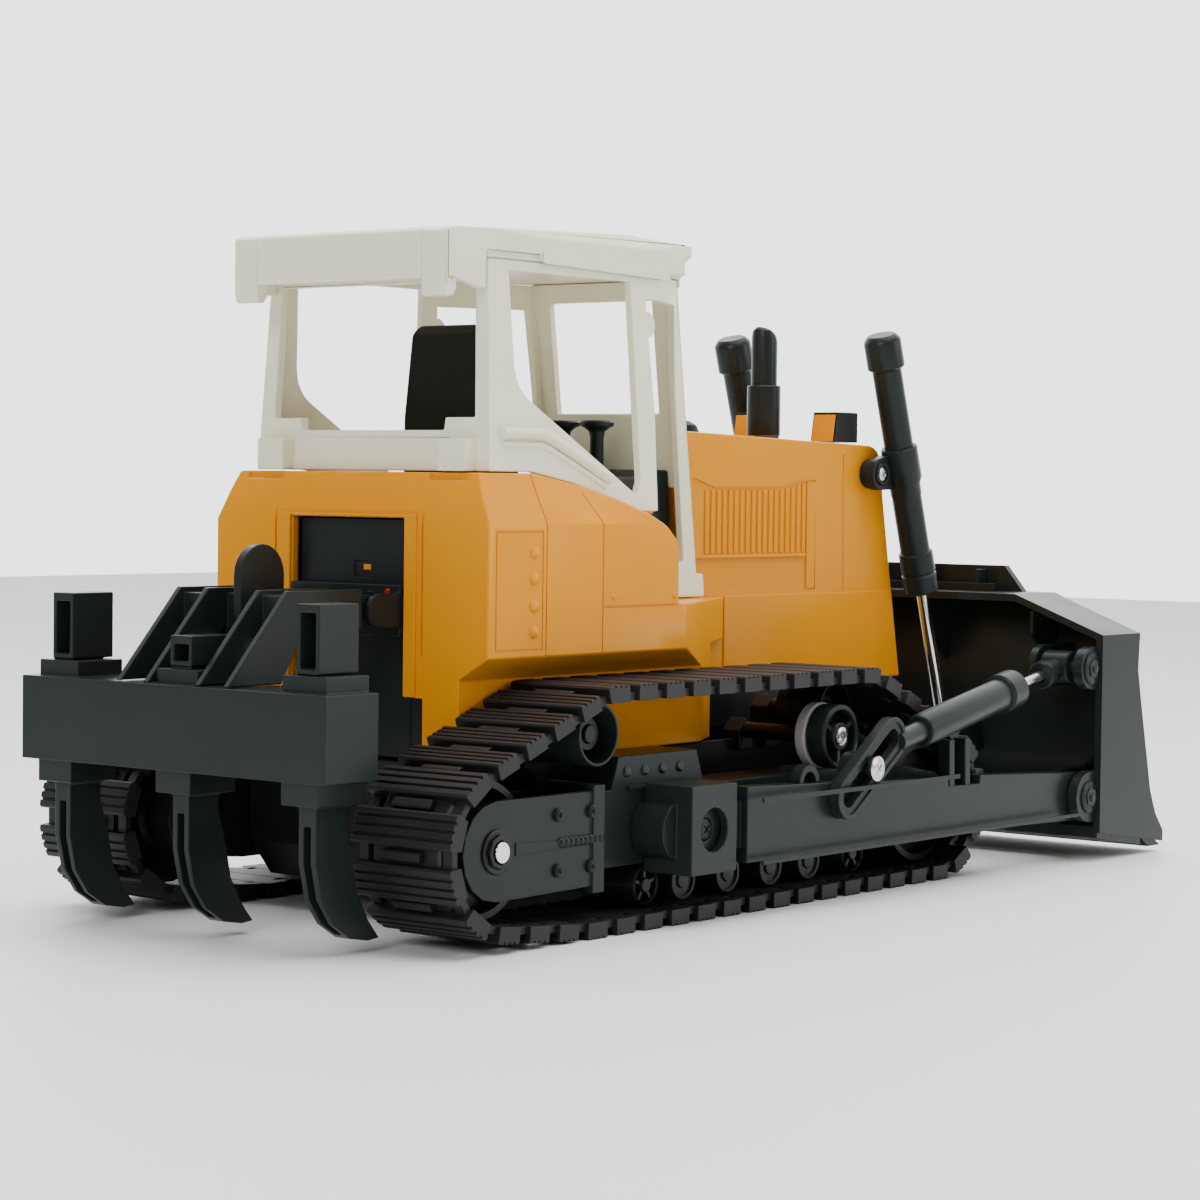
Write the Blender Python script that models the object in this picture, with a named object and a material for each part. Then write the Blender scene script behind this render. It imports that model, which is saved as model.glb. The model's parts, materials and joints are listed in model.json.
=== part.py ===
"""A remote-controlled toy bulldozer: crawler tracks, a push blade with tilt braces and lift
cylinders, a yellow body with an open ivory cab, and a three-shank ripper behind.

X points to the blade, Y to the driver's left and Z up. The ground is Z = 0, and the origin is
under the middle of the machine. Sizes are in millimetres here; meshes are made in metres.
Pieces that come in pairs are made by a loop over the two sides, from distances off the middle.
"""
import math

import bmesh
import bpy
from mathutils import Matrix, Vector

MM = 0.001
SIDES = (("left", 1), ("right", -1))

# Driving dimensions.
TRACK_INNER, TRACK_OUTER = 45.0, 81.7
BELT = 4.8
SPROCKET = (-148.0, 27.8)
IDLER = (75.0, 25.1)
REAR_CARRIER = (-101.0, 57.3)
FRONT_CARRIER = (31.0, 57.3)
FRONT_WHEEL = (16.0, 50.4)
SPROCKET_R, IDLER_R, CARRIER_R, FRONT_WHEEL_R = 19.8, 19.9, 9.2, 10.4
ROLLER_Z, ROLLER_R = 11.2, 6.0
ROLLER_X = (-73.7, -56.5, -34.0, -11.5, 9.2, 35.2)
HULL_HALF = 40.0
HOOD_HALF = 25.0
TRUNNION = (-65.0, 28.2)
ARM_IN, ARM_OUT = 83.2, 89.2
BLADE_PIN = (149.0, 22.7)
BRACE_PIN = (149.5, 67.2)
BLADE_HALF = 95.5
SLOT_SCREW = (13.8, 41.4)
LINK_LOW, LINK_HIGH = (1.5, 33.0), (26.0, 50.0)
BRACE_START = (26.0, 91.3, 48.0)
BRACE_END = (149.5, 80.8, 67.2)
LIFT_Y = 32.0
LIFT_PIVOT = (110.7, 133.4)
LIFT_TOP = (106.8, 184.0)
LIFT_EYE = (152.0, 42.0)
RIPPER_PIVOT = (-136.0, 91.8)
BEAM = (-198.7, -177.7, 48.2, 72.1)
SHANK_Y = (-48.5, 0.0, 48.5)


def material(name, colour, roughness, metallic=0.0):
    made = bpy.data.materials.new(name)
    made.use_nodes = True
    shader = made.node_tree.nodes["Principled BSDF"]
    shader.inputs["Base Color"].default_value = (*colour, 1.0)
    shader.inputs["Roughness"].default_value = roughness
    shader.inputs["Metallic"].default_value = metallic
    return made


def finish(name, mesh_data, paint, pivot):
    """A new object from a bmesh in millimetres, with its origin at the pivot."""
    bmesh.ops.recalc_face_normals(mesh_data, faces=mesh_data.faces)
    bmesh.ops.translate(mesh_data, vec=-Vector(pivot), verts=mesh_data.verts)
    bmesh.ops.scale(mesh_data, vec=(MM, MM, MM), verts=mesh_data.verts)
    mesh = bpy.data.meshes.new(name)
    mesh_data.to_mesh(mesh)
    mesh_data.free()
    mesh.shade_smooth()
    mesh.set_sharp_from_angle(angle=math.radians(35))
    mesh.materials.append(paint)
    made = bpy.data.objects.new(name, mesh)
    made.location = Vector(pivot) * MM
    bpy.context.collection.objects.link(made)
    return made


def prism(name, outline, axis, low, high, paint, pivot=(0, 0, 0)):
    """An outline extruded along an axis: (y, z) along x, (x, z) along y, or (x, y) along z."""
    place = {
        "x": lambda a, b, c: (c, a, b),
        "y": lambda a, b, c: (a, c, b),
        "z": lambda a, b, c: (a, b, c),
    }[axis]
    data = bmesh.new()
    loops = [[data.verts.new(place(a, b, c)) for a, b in outline] for c in (low, high)]
    data.faces.new(loops[0])
    data.faces.new(loops[1])
    count = len(outline)
    for i in range(count):
        j = (i + 1) % count
        data.faces.new((loops[0][i], loops[0][j], loops[1][j], loops[1][i]))
    return finish(name, data, paint, pivot)


def block(name, x, y, z, paint, pivot=(0, 0, 0)):
    outline = [(x[0], z[0]), (x[1], z[0]), (x[1], z[1]), (x[0], z[1])]
    return prism(name, outline, "y", y[0], y[1], paint, pivot)


def turned(name, start, along, profile, paint, steps=16, pivot=(0, 0, 0)):
    """A turned piece: the profile's (distance, radius) points, closed, round a line."""
    data = bmesh.new()
    along = Vector(along).normalized()
    across = along.orthogonal().normalized()
    third = along.cross(across)
    rings = []
    for distance, radius in profile:
        centre = Vector(start) + along * distance
        if radius == 0:
            rings.append([data.verts.new(centre)] * steps)
            continue
        angles = [2 * math.pi * i / steps for i in range(steps)]
        ring = [centre + radius * (across * math.cos(a) + third * math.sin(a)) for a in angles]
        rings.append([data.verts.new(point) for point in ring])
    for first, second in zip(rings, rings[1:] + rings[:1]):
        for i in range(steps):
            j = (i + 1) % steps
            corners = dict.fromkeys((first[i], first[j], second[j], second[i]))
            if len(corners) > 2:
                data.faces.new(tuple(corners))
    return finish(name, data, paint, pivot)


def cylinder(name, start, along, length, radius, paint, steps=12, pivot=(0, 0, 0)):
    profile = [(0, 0), (0, radius), (length, radius), (length, 0)]
    return turned(name, start, along, profile, paint, steps, pivot)


def arc(centre, radius, first, last, steps):
    """Points from one angle to another, in degrees, both included."""
    angles = [math.radians(first + (last - first) * i / steps) for i in range(steps + 1)]
    return [(centre[0] + radius * math.cos(a), centre[1] + radius * math.sin(a)) for a in angles]


def capsule(low, high, radius, steps=6):
    """The outline of a bar with two round ends."""
    lean = math.degrees(math.atan2(high[1] - low[1], high[0] - low[0]))
    front = arc(high, radius, lean - 90, lean + 90, steps)
    return front + arc(low, radius, lean + 90, lean + 270, steps)


def around(circles, steps=28):
    """The tight outline round a set of circles, each (centre, radius)."""
    rims = [arc(centre, radius, 0, 360, steps) for centre, radius in circles]
    points = sorted({point for rim in rims for point in rim})

    def half(ordered):
        chain = []
        for p in ordered:
            while len(chain) > 1:
                (ax, az), (bx, bz) = chain[-2], chain[-1]
                if (bx - ax) * (p[1] - az) - (bz - az) * (p[0] - ax) > 1e-6:
                    break
                chain.pop()
            chain.append(p)
        return chain[:-1]

    return half(points) + half(points[::-1])


def shape(target, operation, *tools):
    """Adds Boolean modifiers; the tools stay in the file as hidden guides."""
    for tool in tools:
        step = target.modifiers.new(operation.lower(), "BOOLEAN")
        step.operation = operation
        step.object = tool
        tool.hide_render = True
        tool.display_type = "WIRE"
    return target


def cut(target, *tools):
    return shape(target, "DIFFERENCE", *tools)


def fuse(target, *tools):
    return shape(target, "UNION", *tools)


def ride(joint, at, *pieces):
    """Parents pieces to an empty on their joint's axis."""
    empty = bpy.data.objects.new(joint, None)
    empty.location = Vector(at) * MM
    bpy.context.collection.objects.link(empty)
    for piece in pieces:
        piece.parent = empty
        piece.matrix_parent_inverse = Matrix.Translation(Vector(at) * -MM)


def span(side, near, far):
    """A distance range off the middle, on one side, as low and high Y."""
    return tuple(sorted((side * near, side * far)))


for old in list(bpy.data.objects):
    bpy.data.objects.remove(old, do_unlink=True)

YELLOW = material("yellow_plastic", (0.86, 0.33, 0.01), 0.3)
IVORY = material("ivory_plastic", (0.68, 0.66, 0.53), 0.4)
GREY = material("grey_plastic", (0.055, 0.07, 0.07), 0.4)
BLACK = material("black_plastic", (0.012, 0.012, 0.012), 0.5)
RUBBER = material("track_rubber", (0.02, 0.02, 0.022), 0.6)
SEAT = material("seat_plastic", (0.012, 0.012, 0.01), 0.6)
STEEL = material("steel", (0.6, 0.6, 0.58), 0.25, 1.0)
WHITE = material("white_plastic", (0.6, 0.6, 0.55), 0.45)


def make_hull():
    """The black tub between the tracks, with the fixed stub shafts of the front carriers."""
    tub = [(-117, 9), (-126, 20), (-126, 47.5), (104, 47.5), (112, 40), (112, 18), (100, 9)]
    hull = prism("chassis_hull", tub, "y", -HULL_HALF, HULL_HALF, BLACK)
    fuse(hull, block("nose_block", (6, 108), (-28, 28), (40, 61.6), BLACK))
    room = [(-114, 12), (-123, 21), (-123, 50), (101, 50), (101, 20), (97, 12)]
    cut(hull, prism("tub_room", room, "y", -37.5, 37.5, BLACK))
    cut(hull, block("nose_room", (9, 105), (-25.5, 25.5), (45, 65), BLACK))
    for _, side in SIDES:
        for (x, z), reach in ((FRONT_CARRIER, 65), (FRONT_WHEEL, 77)):
            stub = cylinder("carrier_stub", (x, side * 38.5, z), (0, side, 0), reach - 38.5, 2.6, BLACK, 12)
            post = [(x - 4, 44), (x + 4, 44), (x + 4, z), (x, z + 4), (x - 4, z)]
            fuse(hull, prism("stub_post", post, "y", *span(side, 36, 43), BLACK), stub)


def make_body():
    """The yellow shell: fenders either side of a driver's well, and an open rear bay."""
    upper = [(-126.4, 92), (-126.4, 117.2), (-125, 126), (-123.2, 131.8), (-98, 131.8), (-78, 128.3),
             (-62, 124.3), (-50, 120.3), (-42, 116), *arc((-42.5, 108.5), 6, 60, 0, 4), (-36.5, 92)]
    body = prism("body_shell", upper, "y", -54.5, 54.5, YELLOW)
    plan = [(-126.4, -54.5), (-32, -54.5), (5.7, -35.7), (5.7, 35.7), (-32, 54.5), (-126.4, 54.5)]
    fuse(body, prism("fender_box", plan, "z", 48, 92.6, YELLOW))
    for _, side in SIDES:
        wedge = [(5, side * 25.4), (26.4, side * 25.4), (5, side * 36.05)]
        fuse(body, prism("front_wedge", wedge, "z", 78.7, 92.6, YELLOW))
    across = [(54.5, 78.7), (54.5, 117.2), (50.3, 126), (47.6, 132)]
    below = [(43.5, 48), (43.5, 72.3)]
    half = below + across
    section = half + [(-y, z) for y, z in reversed(half)]
    shape(body, "INTERSECT", prism("body_section", section, "x", -130, 30, YELLOW))
    room = [(-123.4, -40.5), (-9.8, -40.5), (2.8, -34.2), (2.8, 34.2), (-9.8, 40.5), (-123.4, 40.5)]
    cut(body, prism("lower_room", room, "z", 40, 90, YELLOW))
    cut(body, block("fender_room", (-123.4, -38.5), (-52, 52), (81.2, 90), YELLOW))
    cut(body, block("rear_room", (-123.4, -103), (-46, 46), (88, 129), YELLOW))
    cut(body, block("well", (-98, 12), (-36, 36), (94, 140), YELLOW))
    for _, side in SIDES:
        hollow = [(-104, 88), (-104, 126), (-98, 126), (-78, 124), (-62, 120), (-48, 114), (-40, 106),
                  (-40, 88)]
        cut(body, prism("fender_hollow", hollow, "y", *span(side, 38.5, 46), YELLOW))
    cut(body, block("rear_opening", (-140, -120), (-22.6, 22.6), (40, 118.4), YELLOW))
    for _, side in SIDES:
        cut(body, block("top_pocket", (-126, -121.4), span(side, 29, 44), (129.6, 140), YELLOW))


def make_hood():
    """The engine hood: a tall narrow shell that leans forward at its foot."""
    crown = arc((112, 135.3), 8, 88, 12, 4)
    side_view = [(6.3, 62), (6.3, 99), (0.2, 146.4), (112, 143.3), *crown, (121, 126), (133, 62)]
    inside = [(8.8, 55), (8.8, 100), (3, 143.8), (111, 140.8), (117.5, 134), (130.2, 64), (131.4, 55)]
    hood = prism("hood", side_view, "y", -HOOD_HALF, HOOD_HALF, YELLOW)
    cut(hood, prism("hood_room", inside, "y", -HOOD_HALF + 2.2, HOOD_HALF - 2.2, YELLOW))
    cut(hood, cylinder("pivot_hole", (110.7, -40, 133.4), (0, 1, 0), 80, 4.4, YELLOW, 14))


def make_hood_fittings():
    """Exhaust, the two lamp boxes, the dome and the tube that carries the lift cylinders."""
    top = [(0, 0), (0, 5.8), (17.6, 5.8), (17.6, 4.5), (34, 4.5), (37.5, 2.6), (38.4, 0)]
    exhaust = turned("exhaust_pipe", (83.2, 0, 145.9), (0, 0, 1), top, GREY)
    nick = [(84, 185.5), (89.5, 179.4), (89.5, 186)]
    cut(exhaust, prism("exhaust_slant", nick, "y", -6, 6, GREY))
    for word, side in SIDES:
        lamp = [(95, 144.6), (96.8, 154.6), (109.2, 154.6), (109.2, 144.2)]
        prism(f"lamp_box_{word}", lamp, "y", *span(side, 11.6, 21.8), GREY)
    dome = [(0, 0), (0, 5.6), (2.6, 4.6), (4, 2.4), (4.4, 0)]
    turned("hood_dome", (36.9, 0, 146.2), (0, 0, 1), dome, GREY, 12)
    tube = [(0, 0), (0, 5.2), (1.9, 5.2), (1.9, 4.0), (52.5, 4.0), (52.5, 5.2), (54.4, 5.2), (54.4, 0)]
    turned("lift_pivot_tube", (LIFT_PIVOT[0], -27.2, LIFT_PIVOT[1]), (0, 1, 0), tube, GREY, 14)


def make_cab():
    """The open cab frame: leaning walls with window openings, standing on the body."""
    cab = block("cab_shell", (-120.3, 5.6), (-49, 49), (92.9, 193.6), IVORY)
    lean = [(-114.8, 193.6), (-117.2, 132.2), (-98, 132.2), (-78, 128.8), (-62, 124.8), (-50, 120.8),
            (-36, 120.8), (-30, 112), (-30, 92.9), (5.6, 92.9), (5.6, 99), (-6.8, 193.6)]
    shape(cab, "INTERSECT", prism("cab_side_view", lean, "y", -60, 60, IVORY))
    half = [(-7, 29.7), (-38, 44.5), (-38, 50), (-121, 50)]
    plan = [(8, -29.7), (8, 29.7)] + half + [(x, -y) for x, y in reversed(half)]
    shape(cab, "INTERSECT", prism("cab_plan", plan, "z", 80, 200, IVORY))
    across = [(-48.8, 92.9), (48.8, 92.9), (43.2, 193.7), (-43.2, 193.7)]
    shape(cab, "INTERSECT", prism("cab_section", across, "x", -130, 10, IVORY))
    for _, side in SIDES:
        end = [(-122.3, 132.2), (-122.3, 141.6), (-116, 141.6), (-116, 132.2)]
        fuse(cab, prism("end_block", end, "y", *span(side, 30.9, 41.7), IVORY))
        foot = [(-2, 92.9), (-2, 100.4), (9.2, 100.4), (9.9, 95), (9.9, 92.9)]
        fuse(cab, prism("front_foot", foot, "y", *span(side, 26, 29.7), IVORY))
    room_view = [(-115, 80), (-111.6, 205), (-11.2, 205), (2.8, 99), (2.8, 80)]
    room = prism("cab_room", room_view, "y", -60, 60, IVORY)
    half = [(-7.8, 27.1), (-38.8, 41.9), (-38.8, 50), (-121, 50)]
    plan = [(8, -27.1), (8, 27.1)] + half + [(x, -y) for x, y in reversed(half)]
    shape(room, "INTERSECT", prism("room_plan", plan, "z", 70, 210, IVORY))
    across = [(-46.9, 80), (46.9, 80), (39.95, 205), (-39.95, 205)]
    shape(room, "INTERSECT", prism("room_section", across, "x", -130, 10, IVORY))
    cut(cab, room)
    half = [(28.5, 144.1), (28.9, 147.8), (40.2, 147.8), (38.6, 187)]
    rear = half + [(-y, z) for y, z in reversed(half)]
    cut(cab, prism("rear_window", rear, "x", -125, -110, IVORY))
    bend = arc((-92, 164), 12.4, 180, 240, 5)
    sides = [(-105.6, 190.5), *bend, (-48.2, 125.6), (-46.4, 130), (-48.4, 190.5)]
    cut(cab, prism("side_window", sides, "y", -60, 60, IVORY))
    door = [(-41, 185.5), (-35.4, 122), (-33.6, 104.4), (-1.4, 104.4), (-10, 185.5)]
    cut(cab, prism("door_opening", door, "y", -60, 60, IVORY))
    front = [(-21, 151.7), (21, 151.7), (21, 187.5), (-21, 187.5)]
    cut(cab, prism("front_window", front, "x", -30, 10, IVORY))
    low = [(-25, 80), (25, 80), (25, 128), (-25, 128)]
    cut(cab, prism("dash_opening", low, "x", -6, 20, IVORY))


def make_roof():
    """The roof panel with its lip, deep rear band, side skirts and two rear straps."""
    view = [(-131.3, 199.9), (-131.3, 200.8), (-129.5, 201.8), (-47.5, 204.9), (-15.6, 203.3),
            (-3, 202.6), (-2, 199.9)]
    roof = prism("cab_roof", view, "y", -50, 50, IVORY)
    half = [(-131.3, 42.1), (-118, 43.3), (-92, 44.8), (-40, 44.8), (-20, 42.9), (-15.6, 42), (-2, 30)]
    plan = half + [(x, -y) for x, y in reversed(half)]
    shape(roof, "INTERSECT", prism("lip_plan", plan, "z", 180, 210, IVORY))
    band = [(-131.3, 187), (-131.3, 200.6), (-4.6, 200.6), (-4.2, 191.2), (-5.7, 191.2), (-6.4, 193.9),
            (-128.4, 193.9), (-129.4, 187)]
    lower = prism("roof_band", band, "y", -50, 50, IVORY)
    for _, side in SIDES:
        flap = [(-130.5, 195), (-130.5, 187.5), (-119, 184.8), (-115.6, 184.8), (-115.6, 195)]
        fuse(lower, prism("rear_skirt", flap, "y", *span(side, 40.4, 50), IVORY))
        skirt = [(-91, 195), (-91, 193.2), (-34, 191.7), (-22, 191.2), (-20, 195)]
        fuse(lower, prism("side_skirt", skirt, "y", *span(side, 43.7, 50), IVORY))
    half = half[:5] + [(-19, 41.4), (-4.2, 28.6)]
    plan = half + [(x, -y) for x, y in reversed(half)]
    fuse(roof, shape(lower, "INTERSECT", prism("band_plan", plan, "z", 180, 210, IVORY)))
    for _, side in SIDES:
        notch = block("post_notch", (-115.5, -92.4), span(side, 43.3, 50), (180, 195.8), IVORY)
        edge = [(side * y, z) for y, z in ((45, 200.4), (40.6, 206), (60, 206), (60, 200.4))]
        cut(roof, notch, prism("roof_edge", edge, "x", -140, 10, IVORY))
        strap = [(-132.2, 200.8), (-132.2, 184), (-131.4, 181.8), (-128.6, 181.8), (-127, 184), (-127, 198),
                 (-130.6, 200.8)]
        fuse(roof, prism("rear_strap", strap, "y", *span(side, 32.8, 42), IVORY))


def make_driver_place():
    """Seat, and the console moulded with its two T-shaped control levers, in the driver's well."""
    side_view = [(-81, 94.3), (-81, 174), (-78.5, 177), (-74.5, 177), (-72.5, 174), (-71.5, 126), (-49, 124),
                 (-45, 120), (-45, 113), (-66, 111), (-66, 94.3)]
    seat = prism("seat", side_view, "y", -22, 22, SEAT)
    across = [(-20, 90), (20, 90), (19.4, 149), (16.3, 175.5), (14.8, 177.5)]
    across += [(-14.8, 177.5), (-16.3, 175.5), (-19.4, 149)]
    shape(seat, "INTERSECT", prism("seat_section", across, "x", -90, -40, SEAT))
    desk = [(-38, 94.3), (-38, 97), (-34, 97), (-31.5, 130.8), (-12, 131.4), (-8, 133.6), (-2.4, 133.6),
            (-1, 112), (-1, 94.3)]
    console = prism("console", desk, "y", -24, 24, GREY)
    for _, side in SIDES:
        stick = [(0, 0), (0, 2.3), (16.6, 2.3), (18, 5.4), (20, 5.6), (20, 0)]
        fuse(console, turned("control_lever", (-18.2, side * 7, 129.2), (0, 0, 1), stick, GREY, 12))


def make_rear_panel():
    """The dark cover that closes the rear bay, with the fixed ears of the ripper linkage."""
    outline = [(-22.2, 48.2), (22.2, 48.2), (22.2, 118), (-22.2, 118)]
    panel = prism("rear_panel", outline, "x", -123, -120.4, GREY)
    cut(panel, block("latch_window", (-130, -110), (-5.5, 0.5), (100.8, 105.5), GREY))
    mount = block("ripper_mount", (-127.6, -123.3), (-22, 22), (84, 99), GREY)
    x, z = RIPPER_PIVOT
    for _, side in SIDES:
        for near, far in ((9.2, 11.2), (20.2, 22.0)):
            ear = [(-126, z - 5), *arc((x, z), 5, 270, 90, 5), (-126, z + 5)]
            fuse(mount, prism("ear", ear, "y", *span(side, near, far), GREY))
        pin = cylinder("ripper_pin", (x, side * 10, z), (0, side, 0), 11, 1.8, GREY, 10)
        fuse(mount, pin)


def make_ripper():
    """The lifting frame of plates and blocks, the grip, the beam and the three shanks."""
    x, z = RIPPER_PIVOT
    pieces = []
    frame = block("ripper_frame", (-173, -160), (-21.8, 21.8), (84.4, 96.6), GREY, (x, 0, z))
    cut(frame, block("frame_slot", (-180, -166.5), (-9.6, 9.6), (80, 100), GREY))
    plate = [(-197.4, 72.4), (-174, 98.2), (-144, 98.2), (-144, 86.8), (-168, 86.8), (-176.5, 72.4)]
    for _, side in SIDES:
        for near, far in ((9.2, 11.2), (20.2, 22.2)):
            fuse(frame, prism("plate", plate, "y", *span(side, near, far), GREY))
        tongue = [(-165, 87.3), *arc((x, z), 4.5, -90, 90, 5), (-165, 96.3)]
        fuse(frame, prism("tongue", tongue, "y", *span(side, 11.9, 19.5), GREY))
        cut(frame, cylinder("tongue_hole", (x, side * 5, z), (0, side, 0), 25, 2.2, GREY, 10))
    grip = [(-172, 90), (-172, 102), *arc((-163.2, 102), 8.8, 180, 0, 12), (-154.4, 90)]
    fuse(frame, prism("ripper_grip", grip, "y", -1.5, 1.5, GREY))
    pieces.append(frame)
    x0, x1, z0, z1 = BEAM
    outline = [(x0, z0), (x1, z0), (x1, z1), (x0, z1)]
    beam = prism("ripper_beam", outline, "y", -60, 60, GREY, (x, 0, z))
    names = ("right", "middle", "left")
    for y in SHANK_Y:
        cut(beam, block("socket", (-193.6, -181.2), (y - 4.3, y + 4.3), (40, 80), GREY))
        rise = 4.6 if y else 4.2
        collar = block("upper_collar", (-195, -177.9), (y - 8.1, y + 8.1), (z1 - 1, z1 + rise), GREY)
        foot = block("lower_collar", (-196.5, -178.8), (y - 6.9, y + 6.9), (z0 - 6.5, z0 + 1), GREY)
        fuse(beam, collar, foot)
        cut(beam, block("collar_hole", (-193.6, -181.2), (y - 4.3, y + 4.3), (30, 90), GREY))
    pieces.append(beam)
    for word, y in zip(names, SHANK_Y):
        top = 96 if y else 85.6
        rest = z1 + 5
        back = [(-193.3, rest + 0.6), (-193.3, 26), (-191, 16), (-186, 9), (-179, 4.6), (-172, 3.4)]
        front = [(-167.6, 3.8), (-172, 9), (-176.6, 17), (-178.4, 26), (-181.5, 36), (-181.5, rest + 0.6)]
        shank = prism(f"shank_{word}", back + front, "y", y - 4, y + 4, GREY, (x, 0, z))
        fuse(shank, block("shank_head", (-193.6, -178), (y - 4.2, y + 4.2), (rest, top), GREY))
        cut(shank, block("head_slot", (-200, -186), (y - 2.8, y + 2.8), (rest + 1.4, top - 2.4), GREY))
        groove = [(-200, 36), (-190.4, 36), (-190.4, 26), (-187.6, 17.6), (-183, 11.4), (-178, 7.6),
                  (-190, 0), (-200, 0)]
        cut(shank, prism("shank_groove", groove, "y", y - 1.3, y + 1.3, GREY))
        for _, side in SIDES:
            edge = block("shank_side", (-200, -150), (y + side * 3.2, y + side * 9), (0, 41), GREY)
            cut(shank, edge)
        pieces.append(shank)
    ride("ripper_lift", (x, 0, z), *pieces)


def make_tracks():
    """Each side's belt, which runs round the sprocket, the carriers, the idler and the rollers."""
    wheels = [(SPROCKET, SPROCKET_R), (REAR_CARRIER, CARRIER_R), (FRONT_CARRIER, CARRIER_R),
              (IDLER, IDLER_R), ((-112.0, ROLLER_Z), ROLLER_R)]
    inner = [(centre, radius + 0.4) for centre, radius in wheels]
    outer = [(centre, radius + BELT) for centre, radius in inner]
    inside, outside = around(inner), around(outer)
    for word, side in SIDES:
        belt = prism(f"track_{word}", outside, "y", *span(side, TRACK_INNER, TRACK_OUTER), RUBBER)
        cut(belt, prism("belt_room", inside, "y", *span(side, 30, 100), RUBBER))
        wheels = make_wheels(word, side)
        make_frame(word, side)
        ride(f"{word}_sprocket_spin", (SPROCKET[0], 0, SPROCKET[1]), *wheels)


def ring_roller(name, centre, near, far, radius, paint, side, bore):
    """A cup-shaped roller: a rim, a web and a hub with a bore."""
    web = near + 0.4 * (far - near)
    lip = radius - 1.3
    profile = [(web, bore), (far - 2, bore), (far - 2, bore + 2), (web + 2.4, bore + 2), (web + 2.4, lip),
               (far, lip), (far, radius), (near, radius), (near, lip), (web, lip)]
    start = (centre[0], 0, centre[1])
    return turned(name, start, (0, side, 0), profile, paint, 14, start)


def make_wheels(word, side):
    """Sprocket with its axle, idler, carriers and the two road rollers that turn."""
    start = (SPROCKET[0], 0, SPROCKET[1])
    radius = SPROCKET_R
    profile = [(52, 3.3), (56, 9), (52, 17), (52, radius), (71, radius), (71, 17), (66, 9), (70, 3.3)]
    sprocket = turned(f"sprocket_{word}", start, (0, side, 0), profile, BLACK, 24, start)
    inner_end = (start[0], side * 43, start[2])
    axle = cylinder(f"drive_axle_{word}", inner_end, (0, side, 0), 36.6, 3.0, STEEL, 16, start)
    start = (IDLER[0], 0, IDLER[1])
    profile = [(52, 4.4), (56, 9), (52, 17), (52, IDLER_R), (71, IDLER_R), (71, 17), (67, 9), (70, 4.4)]
    turned(f"idler_{word}", start, (0, side, 0), profile, BLACK, 24, start)
    ring_roller(f"carrier_roller_{word}_rear", REAR_CARRIER, 52, 75, CARRIER_R, GREY, side, 2.9)
    ring_roller(f"carrier_roller_{word}_front", FRONT_CARRIER, 50, 67, CARRIER_R, GREY, side, 2.9)
    ring_roller(f"ring_wheel_{word}", FRONT_WHEEL, 68.5, 79.5, FRONT_WHEEL_R, WHITE, side, 2.9)
    for place, x in (("rear", ROLLER_X[0]), ("front", ROLLER_X[-1])):
        start = (x, 0, ROLLER_Z)
        profile = [(58.5, 2.2), (58.5, ROLLER_R), (71.9, ROLLER_R), (71.9, 2.2)]
        turned(f"road_roller_{word}_{place}", start, (0, side, 0), profile, BLACK, 12, start)
    return sprocket, axle


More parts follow.
